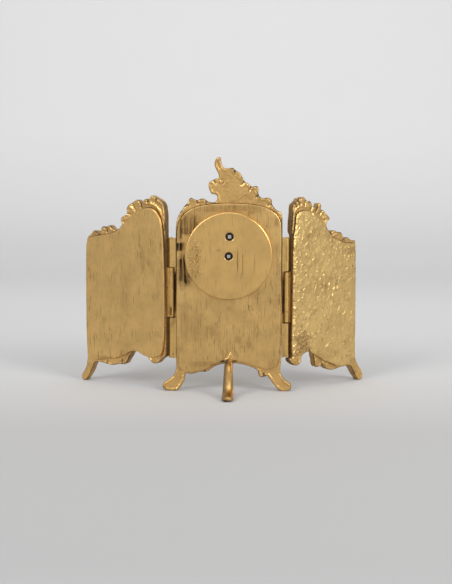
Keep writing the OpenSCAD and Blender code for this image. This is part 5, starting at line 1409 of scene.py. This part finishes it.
def bead_row(name, lines, body, material, slot, **values):
    """Beads along one or more closed or open lines of points in metres, as one plain mesh."""
    points, edges = [], []
    for line, closed in lines:
        start, end = len(points), len(points) + len(line) - 1
        points += [tuple(p) for p in line]
        edges += [(i, i + 1) for i in range(start, end)]
        if closed:
            edges.append((end, start))
    mesh = bpy.data.meshes.new(name + "_line")
    mesh.from_pydata(points, edges, [])
    guide = linked(name + "_line", mesh)
    live = guide.modifiers.new("beads", "NODES")
    live.node_group = BEADS
    sockets = {item.name: item.identifier for item in BEADS.interface.items_tree if item.in_out == "INPUT"}
    for label, value in {"Finish": material, **values}.items():
        live[sockets[label]] = value
    made = bpy.data.meshes.new_from_object(guide.evaluated_get(bpy.context.evaluated_depsgraph_get()))
    bpy.data.objects.remove(guide)
    beads = linked(name, made)
    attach(beads, body)
    print(name, len(made.polygons), "faces")


# %% Rows
BEADS_AT, BEADS_STEP = 2.6, 0.6
BEADS_Y = -CASTING_T - 0.2
BEADS_END_R = 28.2
BEZEL_BEADS_R, BEZEL_BEADS_Y = 25.15, -8.35


def moved_out(loop, by):
    """An outline moved outward along its own normals."""
    step = normals(loop) * by
    return loop - step if within(loop[:1], loop - step)[0] else loop + step


for body, window, place, seed in (("right_wing", RIGHT_WINDOW, on_right, 3),
                                  ("left_wing", LEFT_WINDOW, on_left, 5)):
    row = loop_at(place, stepped(moved_out(window, BEADS_AT), BEADS_STEP), BEADS_Y)
    bead_row(body + "_beads", [(row, True)], body, bezel_gilt, "gilt_bezel", Seed=seed)
row = stepped(moved_out(CENTRE_WINDOW, BEADS_AT), BEADS_STEP)
row = np.roll(row, -int(np.argmax(from_drum(row) <= BEADS_END_R)), axis=0)
row = loop_at(on_centre, row[from_drum(row) > BEADS_END_R], BEADS_Y)
bezel_row = loop_at(on_centre, circle(BEZEL_BEADS_R, 0, DRUM_Z, 150), BEZEL_BEADS_Y)
bead_row("centre_beads", [(row, False), (bezel_row, True)], "centre_leaf", bezel_gilt, "gilt_bezel", Seed=7)

# %% [markdown]
# ## Bezel, rosette and dial
# The bezel is turned brass: one profile, spun round the dial. The rosette covers the end of a rivet, whose
# peened head shows behind. The numerals are fired enamel paint, a few hundredths of a millimetre thick, with
# thick and thin strokes as a brush makes them.

# %% Turned pieces
def turned(profile, x, z, segments):
    """Points and faces of a closed profile of (radius, y) spun round an axis at x, z."""
    points, faces, count = [], [], len(profile)
    for k in range(segments):
        turn = 2 * math.pi * k / segments
        points += [((x + r * math.cos(turn)) * MM, y * MM, (z + r * math.sin(turn)) * MM) for r, y in profile]
        a, b = k * count, (k + 1) % segments * count
        faces += [(a + i, a + (i + 1) % count, b + (i + 1) % count, b + i) for i in range(count)]
    return points, faces


BEZEL = [(22.65, -4.8), (25.6, -4.8), (26.2, -5.3), (26.2, -7.1), (25.7, -7.9), (24.8, -8.5), (24.04, -10.1),
         (23.25, -10.6), (21.5, -10.6), (20.8, -10.2), (20.8, -10.0), (22.65, -10.0)]
finish_piece("bezel_ring", *turned(rounded(BEZEL, 2), 0, DRUM_Z, 192), "centre_leaf", bezel_gilt,
             "gilt_bezel", ["bezel"])

# %% Rosette and its rivet
PETALS, PETAL_R, NOTCH_DEPTH, NOTCH_WIDTH = 5, 2.5, 0.75, 1.6
a = np.linspace(0, 2 * math.pi, 100, endpoint=False)
petal_r = PETAL_R - NOTCH_DEPTH * np.abs(np.sin(PETALS / 2 * (a - math.pi / 2))) ** NOTCH_WIDTH
outline = np.stack([ROSETTE_AT[0] + petal_r * np.cos(a), ROSETTE_AT[1] + petal_r * np.sin(a)], 1)
rosette_strokes = flower(*ROSETTE_AT, 2.6, PETALS, height=1.7)


def rosette_front(points, away):
    """Raised petals and a bud."""
    height, hollow = carve(points, rosette_strokes)
    return -CASTING_T - 0.1 - height, 0.7 * hollow


solid = carved_solid(outline, [], rosette_front, flat_at(-CASTING_T + 0.25), on_centre, spacing=0.2, edge=0.1)
RIVET = [(0, -CASTING_T), (0.6, -CASTING_T), (0.6, 0.0), (1.0, 0.0), (0.97, 0.16), (0.8, 0.26), (0.45, 0.3),
         (0, 0.3)]
shank, shank_faces = turned(RIVET, *ROSETTE_AT, 32)
count = len(solid[0])
finish_piece("rosette", [*solid[0], *shank],
             [*solid[1], *(tuple(i + count for i in face) for face in shank_faces)], "centre_leaf",
             casting_gilt, "gilt_bezel", ["crest_rosette"], np.concatenate([solid[2], np.zeros(len(shank))]))

# %% Numerals and minute marks
DIAL_FACE = -8.8
PAINT_T = 0.03
NUMERAL_R, NUMERAL_H = 16.6, 3.7
THICK, THIN = 0.62, 0.16
MINUTE_RING_R, MINUTE_RING_HALF, MINUTE_TOP_R = 19.5, 0.06, 20.4
MINUTE_W, HOUR_W = 0.16, 0.5
STROKES = {"I": (0.95, [(0, 0, THICK)]), "V": (2.0, [(-0.72, 0.08, THICK), (0.78, 0.08, THIN)]),
           "X": (2.1, [(-0.78, 0.78, THICK), (0.78, -0.78, THIN)])}
NUMERALS = ["XII", "I", "II", "III", "IIII", "V", "VI", "VII", "VIII", "IX", "X", "XI"]
paint_points, paint_faces = [], []


def paint(corners, turn):
    """A thin flat stroke with four corners, turned clockwise round the dial's middle."""
    c, s = math.cos(turn), math.sin(turn)
    start = len(paint_points)
    for y in (DIAL_FACE - PAINT_T, DIAL_FACE + PAINT_T):
        for across, up in corners:
            paint_points.append(((across * c + up * s) * MM, y * MM, (DRUM_Z - across * s + up * c) * MM))
    sides = [(k, (k + 1) % 4, (k + 1) % 4 + 4, k + 4) for k in range(4)]
    paint_faces.extend(tuple(start + i for i in face) for face in ((0, 1, 2, 3), (7, 6, 5, 4), *sides))


def paint_line(x0, z0, x1, z1, w, turn):
    """A stroke from top to bottom, w wide across."""
    paint([(x0 - w / 2, z0), (x0 + w / 2, z0), (x1 + w / 2, z1), (x1 - w / 2, z1)], turn)


low, high = NUMERAL_R - NUMERAL_H / 2, NUMERAL_R + NUMERAL_H / 2
for hour, numeral in enumerate(NUMERALS):
    turn = math.radians(30 * hour)
    wide = sum(STROKES[letter][0] for letter in numeral)
    at = -wide / 2
    for letter in numeral:
        letter_w, lines = STROKES[letter]
        middle = at + letter_w / 2
        for top, bottom, w in lines:
            paint_line(middle + top, high, middle + bottom, low, w, turn)
        at += letter_w
    for level in (low, high):
        paint_line(0, level + THIN / 2, 0, level - THIN / 2, wide, turn)
for minute in range(60):
    turn = math.radians(6 * minute)
    paint_line(0, MINUTE_TOP_R, 0, MINUTE_RING_R, MINUTE_W if minute % 5 else HOUR_W, turn)
    paint_line(0, MINUTE_RING_R + MINUTE_RING_HALF, 0, MINUTE_RING_R - MINUTE_RING_HALF,
               2 * MINUTE_RING_R * math.tan(math.radians(3)), turn)
finish_piece("dial_numerals", paint_points, paint_faces, "centre_leaf", numeral_black, "blued_steel",
             smooth=False)

# %% [markdown]
# ## The strut
# A single leg behind holds the clock up. It leaves the plate nearly level, bends down like an S, and ends in
# a broad toe. It is built as a row of rounded sections between an upper and an under line seen from the
# side, each as wide as the leg is there seen from behind.

# %% Strut
UPPER = [(0, 18.6), (3, 18.8), (7, 18), (11, 15.2), (14.2, 11), (17.4, 6.8), (21, 4), (25, 3), (29, 3.2),
         (30.5, 2.2)]
UNDER = [(0, 13.2), (2.6, 14.2), (5.4, 14), (8.4, 12), (11.2, 8.6), (14.4, 4.4), (18.6, 1.2), (23.4, 0),
         (28.6, 0), (30.3, 0.6)]
HALF_WIDTHS = [(0, 2.2), (7, 2.35), (15, 2.8), (22, 3.2), (28, 3.15), (29.8, 2.9), (30.5, 2.4)]
STRUT_SECTIONS, STRUT_SIDES = 72, 28
TOE_FROM, TOE_LENGTH = STRUT_SECTIONS - 7, 6.4
DARK_SECTIONS = 16
SECTION_BLUNTNESS = 0.8


def blunted(part):
    """Makes a round section a little squarer."""
    return math.copysign(abs(part) ** SECTION_BLUNTNESS, part)


upper, under = open_curve(UPPER, STRUT_SECTIONS), open_curve(UNDER, STRUT_SECTIONS)
points, faces, strut_painted_shade = [], [], []
for i in range(STRUT_SECTIONS):
    middle, half = (upper[i] + under[i]) / 2, (upper[i] - under[i]) / 2
    reach = float(np.interp(middle[0], *zip(*HALF_WIDTHS)))
    close = math.sqrt(max(0.0, 1 - max(0.0, (i - TOE_FROM) / TOE_LENGTH) ** 2))
    for k in range(STRUT_SIDES):
        a = 2 * math.pi * k / STRUT_SIDES
        c, s = math.cos(a), math.sin(a)
        x = reach * blunted(c) * (0.5 + 0.5 * close)
        y, z = middle + half * blunted(s) * close
        points.append((x * MM, (PLATE_T + y) * MM, max(z, 0) * MM))
        # Painted shade: the side toward +x and the underside are darker, and the first sections, next to the
        # plate, are darker still.
        strut_painted_shade.append(0.6 * float(smoothed(c, -0.3, 0.4)) + 0.25 * (s < 0) + 0.3 * (i < DARK_SECTIONS))
    if i:
        a, b = (i - 1) * STRUT_SIDES, i * STRUT_SIDES
        faces += [(a + k, a + (k + 1) % STRUT_SIDES, b + (k + 1) % STRUT_SIDES, b + k)
                  for k in range(STRUT_SIDES)]
faces += [range(STRUT_SIDES), range(len(points) - STRUT_SIDES, len(points))]
finish_piece("strut", points, faces, "centre_leaf", strut_gilt, "gilt_casting", ["rear_strut"], strut_painted_shade)

# %% Solder
SOLDER = rounded([(2.4, 17.4), (2.6, 18.8), (1, 19.4), (0.2, 20.6), (-0.6, 22.8), (-1.6, 22.4), (-2, 20.4),
                  (-3.6, 19.2), (-3.2, 18), (-1, 17.2)])


def solder_rear(points, away):
    """A low smear that is thickest beside the strut."""
    height = 0.34 * np.sqrt(np.clip(away / 1.2, 0, 1)) * (1 + 0.35 * ripple(points, 1.4, 5.5))
    return PLATE_T + height - 0.05, np.zeros(len(points))


carved_piece("strut_solder", "centre_leaf", casting_gilt, "gilt_casting", (),
             (SOLDER, [], flat_at(PLATE_T - 0.3), solder_rear, on_centre), with_shade=False, spacing=0.3,
             edge=0.15)

# %% Sizes, and the end
low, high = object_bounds()
{"cad": [list(cad_low), list(cad_high)], "visual": [list(low), list(high)]}
